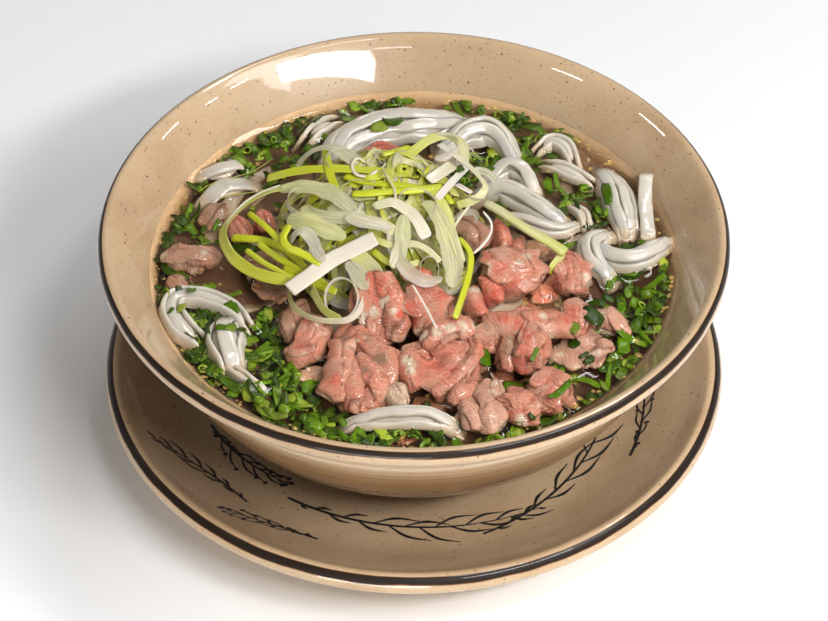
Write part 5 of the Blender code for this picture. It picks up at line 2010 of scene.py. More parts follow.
HANGING: dict[str, tuple[Shred, ...]] = {
    "scallion_loop": (
        Shred(Cut.RIBBON, 4.2, Hue.OLIVE, Hue.LIME, ((-28.3, 14, 90), (-38.2, 17.4, 88),
            (-47.5, 19.1, 85.5), (-54.9, 17.7, 83), (-61.2, 14.2, 80.5), (-66, 8, 78), (-66.4, 1.9, 77),
            (-63.3, -5.3, 76), (-58.6, -10.4, 75.5), (-53.6, -14, 75.5), (-47.3, -17, 76),
            (-41, -18.6, 77)), (10, 0)),
        Shred(Cut.FIBRE, 1.0, Hue.WHITE, Hue.PALE, ((-46.9, 20.7, 86), (-54.3, 19.3, 83.5),
            (-60.6, 15.8, 81), (-65.4, 9.6, 78.5), (-65.8, 3.5, 77.5), (-62.7, -3.7, 76.5),
            (-58, -8.8, 76))),
    ),
    "scallion_white_strip": (
        Shred(Cut.STRIP, 6.0, Hue.WHITE, Hue.WHITE, ((-42.6, -26.0, 79.2), (-35.4, -20.6, 81.2),
            (-28.3, -15.1, 83.2), (-20.7, -12.1, 85.6), (-13.2, -9.6, 88.4))),
    ),
    "scallion_right_strip": (
        Shred(Cut.STEM, 2.4, Hue.LIME, Hue.LIME, ((15.6, -3.7, 83), (18.3, -7.8, 82.5), (19.6, -11.8, 82),
            (19.2, -18.4, 81.5), (18.1, -24.4, 81.5), (15.9, -33.8, 81.5), (13.8, -41.7, 81))),
    ),
    "scallion_low_loop": (
        Shred(Cut.RIBBON, 2.2, Hue.OLIVE, Hue.WHITE, ((-43, -22.5, 75), (-42.1, -28.1, 76),
            (-40.6, -32.6, 77), (-36.4, -37, 77.5), (-31.6, -39.5, 78), (-26.8, -40, 78),
            (-22.4, -39.5, 78), (-19.1, -35.6, 78), (-17.1, -28.7, 78)), (10, 50)),
    ),
    "scallion_stalk": (
        Shred(Cut.STEM, 4.8, Hue.PALE, Hue.OLIVE, ((25.3, 16.3, 81.5), (31.2, 11, 81.6), (38.7, 4.2, 80.8),
            (46.6, -1.4, 79.4), (52.7, -5.5, 77.6))),
        Shred(Cut.RIBBON, 2.6, Hue.OLIVE, Hue.LIME, ((52, -5, 77.4), (50.3, -6.8, 76.2), (48.2, -9.2, 74.8),
            (46.8, -11.2, 73.4))),
    ),
}


SHRED_VALUES = ("lime", "white", "across", "along")


@dataclass(frozen=True)
class Scallion:
    """A loose heap of curled shreds over a smaller core."""

    levels: Levels
    effects: Effects
    step: float = 0.9
    middle: tuple[float, float] = (-12.0, 12.0)
    least_half: float = 0.11
    loose_count: int = 185
    loose_seed: int = 8
    loose_sink: float = 3.6
    loose_pace: float = 2.6
    dense_radius: float = 35.0
    farthest_loose: float = 37.0
    core_sink: float = 5.2
    core_radius: float = 36.0
    core_share: float = 0.78
    core_rings: int = 16
    core_spokes: int = 60
    highest: float = 93.5

    def _add(self, batch: MeshBatch, shred: Shred, seed: float) -> None:
        """Adds one shred.

        Args:
            batch: Batch that it joins.
            shred: The shred.
            seed: Picks its unevenness.
        """
        route = smooth_route(shred.route, self.step)[:, :3]
        gone = lengths_along(route)
        share = gone / gone[-1]
        trace = np.column_stack([gone, np.full(len(gone), seed * 7), np.zeros(len(gone))])
        ahead = unit(np.gradient(route, axis=0))
        away = route - np.array([*self.middle, self.levels.broth_z - 6])
        ups = unit(unit(away) * np.array([0.8, 0.8, 1.0]) + np.array([0, 0, 0.6]))
        ups = unit(ups - ahead * np.sum(ups * ahead, axis=1)[:, None])
        sides = np.cross(ahead, ups)
        roll = np.radians(np.interp(share, [0, 1], shred.roll) + 14 * swell(trace, 11.0, seed))[:, None]
        ups, sides = ups * np.cos(roll) + sides * np.sin(roll), sides * np.cos(roll) - ups * np.sin(roll)
        thin, cup, reach, least = shred.cut.value
        close = end_taper(gone, shred.width * reach, least)
        uneven = 0.24 if shred.cut is Cut.LEAF else 0.12
        half = shred.width / 2 * close * (1 + uneven * swell(trace, 5.0, seed + 4))
        thick = np.maximum(shred.width * thin / 2 * close, self.least_half)
        section = flat_section(16 if shred.width > 2 else 10, 0.85)
        points = sweep(route, sides, ups, half, thick, section, cup * (1 + 0.6 * math.sin(seed * 5)))
        points[:, 2] = np.minimum(points[:, 2], self.highest + 0.15 * np.sin(points[:, 0]))
        limes, whites = zip(shred.first.value, shred.last.value)
        lime = np.interp(share, [0, 1], limes) + 0.12 * swell(trace, 9.0, seed)
        white = np.interp(share, [0, 1], whites) + 0.1 * swell(trace, 8.0, seed + 1)
        around = len(section)
        batch.add(
            points, tube_faces(len(route), around), lime=np.repeat(np.clip(lime, 0, 1), around),
            white=np.repeat(np.clip(white, 0, 1), around), along=np.repeat(gone + seed * 13, around),
            across=(section[None, :, 0] * half[:, None]).ravel() + seed * 3,
        )

    def _dome(self) -> Callable[[float, float], float]:
        """Gives the height of the heap's solid over a place on the table.

        Returns:
            A function of x and y in millimetres.
        """
        solid = bpy.data.objects["scallion_heap"]
        tree = BVHTree.FromObject(solid, bpy.context.evaluated_depsgraph_get())
        turn = solid.matrix_world.inverted()

        def height(x: float, y: float) -> float:
            """Height under a point, or just over the broth where there is no heap."""
            start = turn @ (Vector((x, y, 200.0)) * MM)
            end = turn @ (Vector((x, y, 0.0)) * MM)
            hit = tree.ray_cast(start, (end - start).normalized())[0]
            return (solid.matrix_world @ hit).z / MM if hit is not None else self.levels.broth_z + 3.0

        return height

    def _loose(self, heap: MeshBatch, leaves: MeshBatch, dome: Callable[[float, float], float]) -> None:
        """Tangles seeded shreds over the core.

        Args:
            heap: Batch of the thick ones.
            leaves: Batch of the thin ones.
            dome: Height of the heap.
        """
        chance = random.Random(self.loose_seed)
        hues = (Hue.LIME, Hue.LIME, Hue.GREEN, Hue.OLIVE, Hue.OLIVE, Hue.PALE, Hue.WHITE)
        for order in range(self.loose_count):
            angle = chance.uniform(0, math.tau)
            radius = self.dense_radius * chance.random() ** 0.42
            x, y = self.middle[0] + radius * math.cos(angle), self.middle[1] + radius * math.sin(angle)
            spot = np.array([x, y])
            heading = chance.uniform(0, math.tau)
            bend = chance.choice((-1, 1)) * chance.uniform(0.02, 0.24)
            count = chance.randint(6, 15)
            lift = chance.uniform(0.5, 3.2)
            stations = []
            for step in range(count):
                arch = lift * math.sin(math.pi * step / (count - 1))
                rise = -self.loose_sink + arch + chance.uniform(-0.3, 0.3)
                height = min(dome(*spot) + rise, self.highest - 0.6)
                stations.append((spot[0], spot[1], max(height, self.levels.broth_z + 2.5)))
                heading += bend + chance.uniform(-0.12, 0.12)
                spot = spot + self.loose_pace * np.array([math.cos(heading), math.sin(heading)])
                off = spot - np.array(self.middle)
                if np.hypot(*off) > self.farthest_loose:
                    spot = np.array(self.middle) + off * (self.farthest_loose / np.hypot(*off))
            cut = chance.choice((Cut.LEAF, Cut.LEAF, Cut.RIBBON, Cut.RIBBON, Cut.STEM))
            width = chance.uniform(1.6, 2.8) if cut is Cut.STEM else chance.uniform(2.0, 5.0)
            roll = (chance.uniform(-50, 50), chance.uniform(-50, 50))
            shred = Shred(cut, width, chance.choice(hues), chance.choice(hues), tuple(stations), roll)
            self._add(leaves if cut is Cut.LEAF else heap, shred, 50.0 + order)

    def _core(self, dome: Callable[[float, float], float]) -> bpy.types.Object:
        """Makes the dark inside of the heap: darker copies of the shred colours, as painted shade between the
        shreds.

        Args:
            dome: Height of the heap.

        Returns:
            The core.
        """
        rings, spokes = self.core_rings, self.core_spokes
        points = [(*self.middle, dome(*self.middle) - self.core_sink)]
        for ring in range(1, rings + 1):
            for spoke in range(spokes):
                turn = spoke / spokes * math.tau
                reach = self.core_radius * self.core_share * ring / rings
                x, y = self.middle[0] + reach * math.cos(turn), self.middle[1] + reach * math.sin(turn)
                lump = 1.2 * noise.noise(Vector((x / 4, y / 4, 0.0)))
                top = max(dome(x, y) - self.core_sink + lump, self.levels.broth_z - 1.5)
                points.append((x, y, top if ring < rings else self.levels.broth_z - 2.0))
        grid = np.array(points)
        bottom = tuple(range(1 + (rings - 1) * spokes, 1 + rings * spokes))
        batch = MeshBatch(*SHRED_VALUES)
        batch.add(grid, [*disc_faces(rings, spokes), bottom], lime=0.3, across=grid[:, 0], along=grid[:, 1])
        shade = ScallionFinish(lime=(0.30, 0.32, 0.01), olive=(0.20, 0.19, 0.04), vein=(0.07, 0.07, 0.01))
        return batch.build("scallion_shaded_core", shade.build(self.effects, "scallion_shade", False))

    def build(self) -> list[bpy.types.Object]:
        """Makes the heap and the shreds that hang out of it.

        Returns:
            The pieces.
        """
        solid_cut = ScallionFinish().build(self.effects, "scallion_shreds", False)
        thin_look = ScallionFinish(olive=(0.54, 0.54, 0.15), vein=(0.84, 0.80, 0.52), thinnest=0.34)
        thin_cut = thin_look.build(self.effects, "scallion_thin_shreds", True)
        dome = self._dome()
        made = [settle(self._core(dome), "scallion")]
        heap, leaves = MeshBatch(*SHRED_VALUES), MeshBatch(*SHRED_VALUES)
        self._loose(heap, leaves, dome)
        for order, shred in enumerate(SHREDS):
            self._add(leaves if shred.cut is Cut.LEAF else heap, shred, float(order))
        for order, curl in enumerate(CURLS):
            self._add(leaves, curl.shred(order), 300.0 + order)
        made.append(settle(heap.build("scallion_curls", solid_cut), "scallion", "scallion_heap"))
        made.append(settle(leaves.build("scallion_leaves", thin_cut), "scallion"))
        for order, (node, shreds) in enumerate(HANGING.items()):
            batch = MeshBatch(*SHRED_VALUES)
            for number, shred in enumerate(shreds):
                self._add(batch, shred, 200.0 + order * 3 + number)
            made.append(settle(batch.build(node + "_shred", solid_cut), "scallion", node))
        return made


# ------------------------------------------------------------------ chopped greens


class Bit(Enum):
    """Kinds of chopped green."""

    FLAKE = "flakes"
    RING = "rings"
    STRIP = "strips"


@dataclass(frozen=True)
class Patch:
    """A sector of the broth that greens lie on, in degrees and millimetres, and how many of each kind."""

    turn: tuple[float, float]
    reach: tuple[float, float]
    flakes: int
    rings: int
    strips: int


@dataclass(frozen=True)
class GreenFinish:
    """Chopped scallion greens and herb leaves, wet."""

    dark: Colour = (0.008, 0.030, 0.001)
    bright: Colour = (0.090, 0.200, 0.001)
    pale: Colour = (0.400, 0.480, 0.050)
    murk: Colour = (0.07, 0.06, 0.015)

    def build(self, effects: Effects) -> bpy.types.Material:
        """Makes the material.

        Args:
            effects: Shared groups.

        Returns:
            The material.
        """
        look = Finish("chopped_greens", self.bright)
        veins = look.group(effects.fibres, Fineness=1.6, Stretch=0.2, Seed=3.0)
        blotch = look.ramp(look.noise(look.place(), 260.0, 3.0), 0.35, 0.7)
        colour = look.mix(look.attribute("bright"), self.dark, self.bright)
        colour = look.mix(look.times(blotch, 0.35), colour, self.dark)
        colour = look.mix(look.times(veins["Mask"], 0.08), colour, self.pale)
        colour = look.mix(look.attribute("pale"), colour, self.pale)
        look.feed("Base Color", look.group(effects.steep, Colour=colour, Murk=self.murk)["Colour"])
        look.bump(veins["Height"], 0.3 * MM, 0.5)
        look.plain(roughness=0.15, specular_ior_level=0.32)
        return look.material


PATCHES: tuple[Patch, ...] = (
    Patch((106, 142), (66, 90), 105, 12, 8), Patch((142, 158), (84, 90), 10, 1, 1),
    Patch((157, 171), (72, 90), 26, 2, 2), Patch((171, 190), (86, 90.5), 12, 1, 0),
    Patch((190, 216), (66, 90), 105, 8, 9), Patch((205, 236), (54, 89), 120, 10, 10),
    Patch((236, 276), (78, 90), 105, 10, 10), Patch((228, 250), (62, 80), 30, 4, 4),
    Patch((276, 303), (87, 90.5), 24, 2, 3), Patch((303, 345), (68, 90), 66, 8, 9),
    Patch((300, 322), (60, 72), 12, 2, 2), Patch((335, 368), (70, 90), 46, 7, 6),
    Patch((20, 40), (54, 80), 34, 5, 4), Patch((48, 70), (60, 90), 52, 8, 5),
    Patch((55, 72), (42, 62), 22, 6, 3), Patch((70, 106), (86, 90), 26, 2, 3),
    Patch((0, 360), (12, 84), 60, 8, 6),
)


@dataclass(frozen=True)
class Leaf:
    """A larger bit of green in a place of its own.

    Attributes:
        x: Millimetres to the right.
        y: Millimetres to the back.
        long: Half its length.
        wide: Half its width.
        heading: Degrees from +X.
        bright: 0 for the darkest green and 1 for the brightest.
    """

    x: float
    y: float
    long: float
    wide: float
    heading: float
    bright: float


LEAVES: tuple[Leaf, ...] = (
    Leaf(-83.3, -5.7, 6.0, 2.6, -35, 0.1), Leaf(31.3, 28.5, 4.6, 2.1, 80, 0.35),
    Leaf(-8.1, 67.7, 5.0, 3.0, -50, 0.3), Leaf(-12.6, 64.6, 3.6, 2.6, 10, 0.2),
    Leaf(29.0, 60.0, 2.9, 2.4, -60, 0.75), Leaf(71.4, -42.3, 4.2, 2.3, 85, 1),
    Leaf(71.8, -21.7, 5.0, 1.7, 80, 0.8), Leaf(68.9, -9.1, 5.2, 1.8, 75, 0.6),
    Leaf(69.2, 33.5, 5.4, 1.7, -5, 0.55), Leaf(-62.9, -26.1, 3.4, 2.4, -45, 0.55),
    Leaf(23.8, -51.7, 4.2, 2.4, 15, 0.6), Leaf(60.5, -34.7, 4.6, 3, -50, 0),
    Leaf(-33.5, -76.6, 5.4, 2.4, -65, 0.9), Leaf(-10.4, -82.6, 5.2, 1.9, -55, 0.85),
    Leaf(48.1, -72.5, 5, 1.4, 10, 0.7), Leaf(43.5, -77.6, 4.2, 1.5, 15, 0.2),
    Leaf(33.2, -60.3, 3.6, 1.8, 5, 0.65), Leaf(-55.7, -46.4, 5.0, 1.8, 20, 0.25),
    Leaf(-38.1, -69.2, 5.0, 2.2, -30, 0.3), Leaf(-62.0, -60.0, 5.4, 2.0, -40, 0.35),
    Leaf(-74, -44, 4.8, 2.2, -55, 0.6), Leaf(66, -52, 4.4, 2.0, 30, 0.2), Leaf(76, -32, 4.6, 2.2, 60, 0.3),
    Leaf(57, 68, 4.4, 2.0, -30, 0.25), Leaf(-52, 66, 5.0, 2.2, 35, 0.25), Leaf(-66, 56, 4.4, 2.4, 50, 0.15),
    Leaf(44, 74, 4.8, 1.8, -20, 0.3),
)


@dataclass(frozen=True)
class Greens:
    """Chopped herbs and scallion rings that float in the broth."""

    levels: Levels
    effects: Effects
    resting: float = 0.03
    share: float = 0.82
    deepest: float = 4.5
    farthest: float = 91.4
    leaf_half: float = 0.12
    tries: int = 14
    seed: int = 5

    def _flake(self, chance: random.Random, leaf: Leaf | None = None) -> Shape:
        """Cuts a ragged bit of leaf, lying flat round the origin.

        Args:
            chance: Source of chance.
            leaf: Its size and shade, where they are set.

        Returns:
            Points, faces and values.
        """
        count = 12
        long, wide = chance.uniform(1.0, 3.2) + 3.6 * (chance.random() < 0.15), chance.uniform(0.7, 2.1)
        if leaf is not None:
            long, wide = leaf.long, leaf.wide
        bow, twist, square = chance.uniform(-0.10, 0.16), chance.uniform(-0.3, 0.3), chance.uniform(0.4, 1.0)
        rim = []
        for step in range(count):
            turn = (step + 0.5) / count * math.tau
            ragged = 1 + chance.uniform(-0.22, 0.16)
            out, over = math.cos(turn), math.sin(turn)
            x = long * math.copysign(abs(out) ** square, out) * ragged
            rim.append((x, wide * math.copysign(abs(over) ** square, over) * ragged))
        flat = np.array([(0.0, 0.0), *((x / 2, y / 2) for x, y in rim), *rim])
        rise = bow * flat[:, 0] ** 2 * 0.5 + twist * flat[:, 0] * flat[:, 1] * 0.4
        half = self.leaf_half
        points = np.vstack([np.column_stack([flat, rise + half]), np.column_stack([flat, rise - half])])
        upper = disc_faces(2, count)
        faces = [*upper, *(tuple(len(flat) + index for index in face[::-1]) for face in upper)]
        edge, under = 1 + count, len(flat) + 1 + count
        for step in range(count):
            after = (step + 1) % count
            faces.append((edge + step, under + step, under + after, edge + after))
        bright = chance.random() ** 2.6 if leaf is None else leaf.bright
        yellow = chance.uniform(0.15, 0.6) if chance.random() < 0.1 else 0.0
        return points, faces, {
            "across": points[:, 1], "along": points[:, 0], "bright": bright, "pale": yellow,
        }

    def _ring(self, chance: random.Random) -> Shape:
        """Cuts a slice of hollow stalk round the Z axis, whole or split.

        Args:
            chance: Source of chance.

        Returns:
            Points, faces and values.
        """
        radius, wall, tall = chance.uniform(1.2, 2.3), chance.uniform(0.4, 0.9), chance.uniform(0.6, 1.8)
        whole = chance.random() < 0.62
        steps = 22
        arc = math.tau if whole else chance.uniform(2.4, 4.6)
        squash = chance.uniform(0.5, 1.0)
        profile = [(radius, -tall), (radius, tall), (radius - wall, tall), (radius - wall, -tall)]
        rows = steps if whole else steps + 1
        points = []
        for step in range(rows):
            turn = arc * step / steps
            points.extend((r * math.cos(turn), r * math.sin(turn) * squash, z) for r, z in profile)
        faces = []
        for step in range(steps):
            for corner in range(4):
                a, b = step * 4 + corner, step * 4 + (corner + 1) % 4
                c, d = ((step + 1) % rows) * 4 + corner, ((step + 1) % rows) * 4 + (corner + 1) % 4
                faces.append((a, c, d, b))
        if not whole:
            faces.extend([(0, 1, 2, 3), tuple(steps * 4 + k for k in (3, 2, 1, 0))])
        placed, inner = np.array(points), np.tile([0.0, 0.0, 1.0, 1.0], rows)
        bright = 0.35 + 0.65 * chance.random()
        return placed, faces, {
            "across": placed[:, 2], "along": placed[:, 0], "bright": bright, "pale": 0.12 + 0.55 * inner,
        }

    def _strip(self, chance: random.Random) -> Shape:
        """Cuts a narrow bent strip of leaf.

        Args:
            chance: Source of chance.

        Returns:
            Points, faces and values.
        """
        long, wide = chance.uniform(5, 13), chance.uniform(0.6, 1.7)
        turn, bend = 0.0, chance.uniform(-0.22, 0.22)
        stations, spot = [], np.array([-long / 2, 0.0])
        for _ in range(6):
            stations.append((spot[0], spot[1], chance.uniform(-0.3, 0.3)))
            turn += bend
            spot = spot + long / 5 * np.array([math.cos(turn), math.sin(turn)])
        route = smooth_route(stations, 0.9)
        _, sides, ups = travel_frame(route)
        gone = lengths_along(route)
        section = flat_section(8, 0.8)
        points = sweep(route, sides, ups, np.full(len(route), wide), np.full(len(route), 0.2), section, 0.25)
        return points, tube_faces(len(route), 8), {
            "across": np.tile(section[:, 0] * wide, len(route)), "along": np.repeat(gone, 8),
            "bright": 0.5 + 0.5 * chance.random(), "pale": 0.06,
        }

    def _under(self, tree: BVHTree, x: float, y: float,
               least: float) -> tuple[bool, Vector | None, Vector | None]:
        """Looks for food that stands over the broth at a place.

        Args:
            tree: What stands in the broth.
            x: Millimetres to the right.
            y: Millimetres to the back.
            least: How far over the broth it has to stand.

        Returns:
            Whether there is any, the point on it, and the way its face looks.
        """
        place, normal = tree.ray_cast(Vector((x, y, 160.0)), Vector((0, 0, -1)))[:2]
        return place is not None and place.z > self.levels.broth_z + least, place, normal

    def _scatter(self, batches: dict[Bit, MeshBatch], tree: BVHTree, chance: random.Random,
                 patch: Patch) -> None:
        """Strews one patch.

        Args:
            batches: Batch of each kind.
            tree: What stands in the broth.
            chance: Source of chance.
            patch: The patch.
        """
        cutters = {Bit.FLAKE: self._flake, Bit.RING: self._ring, Bit.STRIP: self._strip}
        counts = {Bit.FLAKE: round(patch.flakes * self.share), Bit.RING: patch.rings, Bit.STRIP: patch.strips}
        for kind in (bit for bit, count in counts.items() for _ in range(count)):
            for _ in range(self.tries):
                turn = math.radians(chance.uniform(*patch.turn))
                reach = math.sqrt(chance.uniform(patch.reach[0] ** 2, patch.reach[1] ** 2))
                x, y = reach * math.cos(turn), reach * math.sin(turn)
                if noise.noise(Vector((x / 6.5, y / 6.5, 2.0))) < chance.uniform(-0.32, 0.32):
                    continue
                blocked, place, normal = self._under(tree, x, y, 0.4)
                if not blocked or chance.random() < self.resting:
                    break
            else:
                continue
            lean = chance.gauss(0, 0.22)
            if blocked:
                up = (normal + Vector((0, 0, 0.6))).normalized()
                height = place.z + 0.25
            else:
                up = Vector((chance.gauss(0, 0.24), chance.gauss(0, 0.24), 1.0)).normalized()
                depth = chance.random()
                sunk = self.deepest * (depth - 0.5) * 1.8 if depth > 0.5 else 0.0
                height = self.levels.broth_z + 0.1 - sunk
            if kind is Bit.RING:
                tip = Vector((math.cos(lean * 9), math.sin(lean * 9), chance.uniform(-0.2, 1.0)))
                up = (up * 0.5 + tip).normalized()
            heading = turn + math.pi / 2 + chance.gauss(0, 0.75)
            self._put(batches[kind], cutters[kind](chance), (x, y, height), up, heading)

    def _put(self, batch: MeshBatch, shape: Shape, spot: Station, up: Vector, heading: float) -> None:
        """Lays one bit down.

        Args:
            batch: Batch that it joins.
            shape: Its points, faces and values.
            spot: Where its middle lies.
            up: The way its upper face looks.
            heading: Turn about that way, in radians.
        """
        points, faces, values = shape
        basis = up.to_track_quat("Z", "Y").to_matrix() @ Matrix.Rotation(heading, 3, "Z")
        placed = points @ np.array(basis).T + np.array(spot)
        radius = np.hypot(placed[:, 0], placed[:, 1])
        if radius.max() > self.farthest:
            placed[:, :2] *= self.farthest / radius.max()
        batch.add(placed, faces, **values)

    def build(self, food: Iterable[bpy.types.Object]) -> list[bpy.types.Object]:
        """Makes one piece of each kind.

        Args:
            food: Pieces that the greens keep clear of or rest on.

        Returns:
            The pieces.
        """
        points, faces = [], []
        for piece in food:
            start = len(points)
            points.extend(tuple(vertex.co / MM) for vertex in piece.data.vertices)
            faces.extend(tuple(start + index for index in face.vertices) for face in piece.data.polygons)
        tree = BVHTree.FromPolygons(points, faces)
        chance = random.Random(self.seed)
        batches = {kind: MeshBatch("bright", "pale", "across", "along") for kind in Bit}
        for patch in PATCHES:
            self._scatter(batches, tree, chance, patch)
        for leaf in LEAVES:
            dry, place, normal = self._under(tree, leaf.x, leaf.y, 0.2)
            up = (normal + Vector((0, 0, 1.2))).normalized() if dry else Vector((0.0, 0.05, 1.0))
            spot = (leaf.x, leaf.y, place.z + 0.45 if dry else self.levels.broth_z + 0.25)
            self._put(batches[Bit.FLAKE], self._flake(chance, leaf), spot, up, math.radians(leaf.heading))
        finish = GreenFinish().build(self.effects)
        made = [batch.build("green_" + kind.value, finish) for kind, batch in batches.items()]
        return [settle(piece, "scallion") for piece in made]


# ------------------------------------------------------------------ oil


@dataclass(frozen=True)
class FatFinish:
    """Clear golden fat."""

    pale: Colour = (0.62, 0.44, 0.14)
    deep: Colour = (0.46, 0.30, 0.08)

    def build(self) -> bpy.types.Material:
        """Makes the material."""
        look = Finish("golden_fat", (0.60, 0.42, 0.12))
        look.feed("Base Color", look.mix(look.noise(look.place(), 300.0), self.pale, self.deep))
        look.plain(roughness=0.03, alpha=0.34, coat_weight=1.0, coat_roughness=0.02)
        return look.material


@dataclass(frozen=True)
class Oil:
    """Small lenses of clear golden fat on the broth."""

    levels: Levels
    crockery: Crockery
    edge_count: int = 330
    open_count: int = 360
    smallest: float = 0.25
    largest: float = 1.3
    height: float = 0.24
    around: int = 10
    seed: int = 12

    def build(self) -> bpy.types.Object:
        """Strews the lenses.

        Returns:
            The lenses, as one piece.
        """
        chance = random.Random(self.seed)
        batch, around = MeshBatch(), self.around
        for order in range(self.edge_count + self.open_count):
            turn = chance.uniform(0, math.tau)
            size = self.smallest + (self.largest - self.smallest) * chance.random() ** 2.6
            farthest = self.crockery.inside_radius(self.levels.broth_z) - size - 0.3
            if order < self.edge_count:
                reach = farthest - abs(chance.gauss(0, 2.2))
            else:
                reach = math.sqrt(chance.uniform(40**2, farthest**2))
            x, y = reach * math.cos(turn), reach * math.sin(turn)
            base = self.levels.broth_z + 0.12
            points = [(x, y, base + size * self.height)]
            for share, rise in ((0.45, 0.82), (0.8, 0.42), (1.0, 0.0)):
                for step in range(around):
                    angle = step / around * math.tau
                    across, back = size * share * math.cos(angle), size * share * math.sin(angle)
                    points.append((x + across, y + back, base + size * self.height * rise))
            points.append((x, y, base - size * 0.1))
            last = 1 + 2 * around
            under = [(len(points) - 1, last + (k + 1) % around, last + k) for k in range(around)]
            batch.add(np.array(points), [*disc_faces(3, around), *under])
        made = batch.build("fat_lenses", FatFinish().build())
        made.visible_shadow = False
        return settle(made, "broth")


# ------------------------------------------------------------------ painted twigs


@dataclass(frozen=True)
class Spray:
    """A painted twig on the plate.

    Attributes:
        turn: Degrees round the plate, from +X, where it starts.
        radius: How far out it starts, in millimetres.
        heading: Degrees between its first stretch and the way round the plate.
        length: Its length in millimetres.
        bend: Degrees that it turns along its length.
        leaflets: How many leaflets it carries.
        leaf_length: Length of the longest, in millimetres.
        berried: Whether its leaflets end in dots.
    """

    turn: float
    radius: float
    heading: float
    length: float
    bend: float
    leaflets: int
    leaf_length: float
    berried: bool = False


SPRAYS: tuple[Spray, ...] = (
    Spray(232, 72, 4, 92, 58, 15, 17.0), Spray(247, 85, 178, 34, 18, 12, 8.0, True),
    Spray(288, 78, 8, 88, 58, 14, 18.0), Spray(226, 84, 174, 44, 30, 12, 10.0),
    Spray(196, 76, 10, 40, 34, 12, 12.0, True), Spray(333, 86, 4, 44, 26, 10, 11.0, True),
    Spray(15, 78, 8, 70, 44, 12, 15.0), Spray(66, 86, 4, 52, 34, 11, 9.0),
    Spray(106, 74, 8, 70, 44, 13, 15.0), Spray(152, 86, 4, 46, 30, 10, 9.0, True),
)


@dataclass(frozen=True)
class PaintFinish:
    """Dark paint on the glaze."""

    dark: Colour = (0.014, 0.013, 0.012)
    light: Colour = (0.055, 0.048, 0.040)

    def build(self, effects: Effects) -> bpy.types.Material:
        """Makes the material.

        Args:
            effects: Shared groups.

        Returns:
            The material.
        """
        look = Finish("twig_paint", (0.02, 0.02, 0.018))
        shades = {"First": self.dark, "Second": self.light}
        paint = look.group(effects.mottle, **shades, Scale=500.0, Low=0.45, High=0.8)
        look.feed("Base Color", paint["Colour"])
        look.plain(roughness=0.35, coat_weight=0.7, coat_roughness=0.05)
        return look.material


@dataclass(frozen=True)
class Sprays:
    """Dark twigs painted round the plate, as a film of colour on its face."""

    levels: Levels
    crockery: Crockery
    stem_width: float = 1.15
    film: float = 0.07
    farthest_stem: float = 101.0
    farthest_leaf: float = 102.0
    seed: int = 3

    def _stroke(self, batch: MeshBatch, line: list[tuple[float, float]], widths: Sequence[float]) -> None:
        """Paints one stroke.

        Args:
            batch: Batch that it joins.
            line: Points x, y.
            widths: Width at the start, the middle and the end.
        """
        stations = [(x, y, self.crockery.plate_height_at(math.hypot(x, y)) + self.film) for x, y in line]
        route = smooth_route(stations, 1.0)
        route[:, 2] = self._beds(route)
        _, sides, ups = travel_frame(route)
        share = np.linspace(0, 1, len(route))
        half = np.interp(share, [0, 0.5, 1], widths) / 2
        section = flat_section(8, 0.8)
        points = sweep(route, sides, ups, half, np.full(len(route), self.film), section)
        points[:, 2] = self._beds(points) + np.tile(section[:, 1] * self.film, len(route))
        batch.add(points, tube_faces(len(route), 8))

    def _beds(self, points: np.ndarray) -> np.ndarray:
        """Heights of the middle of the film at points of the plate."""
        radii = np.hypot(points[:, 0], points[:, 1])
        return np.array([self.crockery.plate_height_at(radius) + self.film for radius in radii])

    def _dot(self, batch: MeshBatch, x: float, y: float, size: float) -> None:
        """Paints a dot."""
        self._stroke(batch, [(x - size / 2, y), (x, y), (x + size / 2, y)], (size * 0.6, size, size * 0.6))

    def _twig(self, batch: MeshBatch, spray: Spray, chance: random.Random) -> None:
        """Paints one twig.

        Args:
            batch: Batch that it joins.
            spray: The twig.
            chance: Source of chance.
        """
        turn = math.radians(spray.turn)
        x, y = spray.radius * math.cos(turn), spray.radius * math.sin(turn)
        heading = turn + math.pi / 2 + math.radians(spray.heading)
        steps = spray.leaflets + 2
        pace = spray.length / steps
        stem = [(x, y)]
        for step in range(steps):
            heading += math.radians(spray.bend) / steps
            x, y = x + pace * math.cos(heading), y + pace * math.sin(heading)
            if math.hypot(x, y) > self.farthest_stem:
                break
            stem.append((x, y))
            side = 1 if step % 2 else -1
            fullness = math.sin(math.pi * (step + 1.5) / (steps + 1.5))
            long = spray.leaf_length * fullness * chance.uniform(0.75, 1.1)
            lean = heading + side * math.radians(chance.uniform(32, 52))
            ends = [(x, y)]
            for share in (0.5, 1.0):
                lean -= side * 0.22
                ends.append((x + long * share * math.cos(lean), y + long * share * math.sin(lean)))
            if max(math.hypot(*end) for end in ends) > self.farthest_leaf:
                continue
            self._stroke(batch, ends, (0.6, 0.8, 0.4) if spray.berried else (0.6, 1.25, 0.3))
            if spray.berried:
                self._dot(batch, *ends[-1], 1.7)
        self._stroke(batch, stem, (self.stem_width, self.stem_width * 0.8, 0.35))

    def build(self, effects: Effects) -> bpy.types.Object:
        """Paints every twig.

        Args:
            effects: Shared groups.

        Returns:
            The painted film.
        """
        batch = MeshBatch()
        chance = random.Random(self.seed)
        for spray in SPRAYS:
            self._twig(batch, spray, chance)
        return settle(batch.build("painted_twigs", PaintFinish().build(effects)), "stoneware")


# ------------------------------------------------------------------ studio


@dataclass(frozen=True)
class FloorFinish:
    """Matt white, faintly uneven."""

    grey: Colour = (0.885, 0.885, 0.885)
    white: Colour = (0.900, 0.900, 0.900)

    def build(self) -> bpy.types.Material:
        """Makes the material."""
        look = Finish("pale_floor", (0.86, 0.86, 0.86))
        look.feed("Base Color", look.mix(look.noise(look.place(), 3.0), self.grey, self.white))
        look.plain(roughness=0.9)
        return look.material


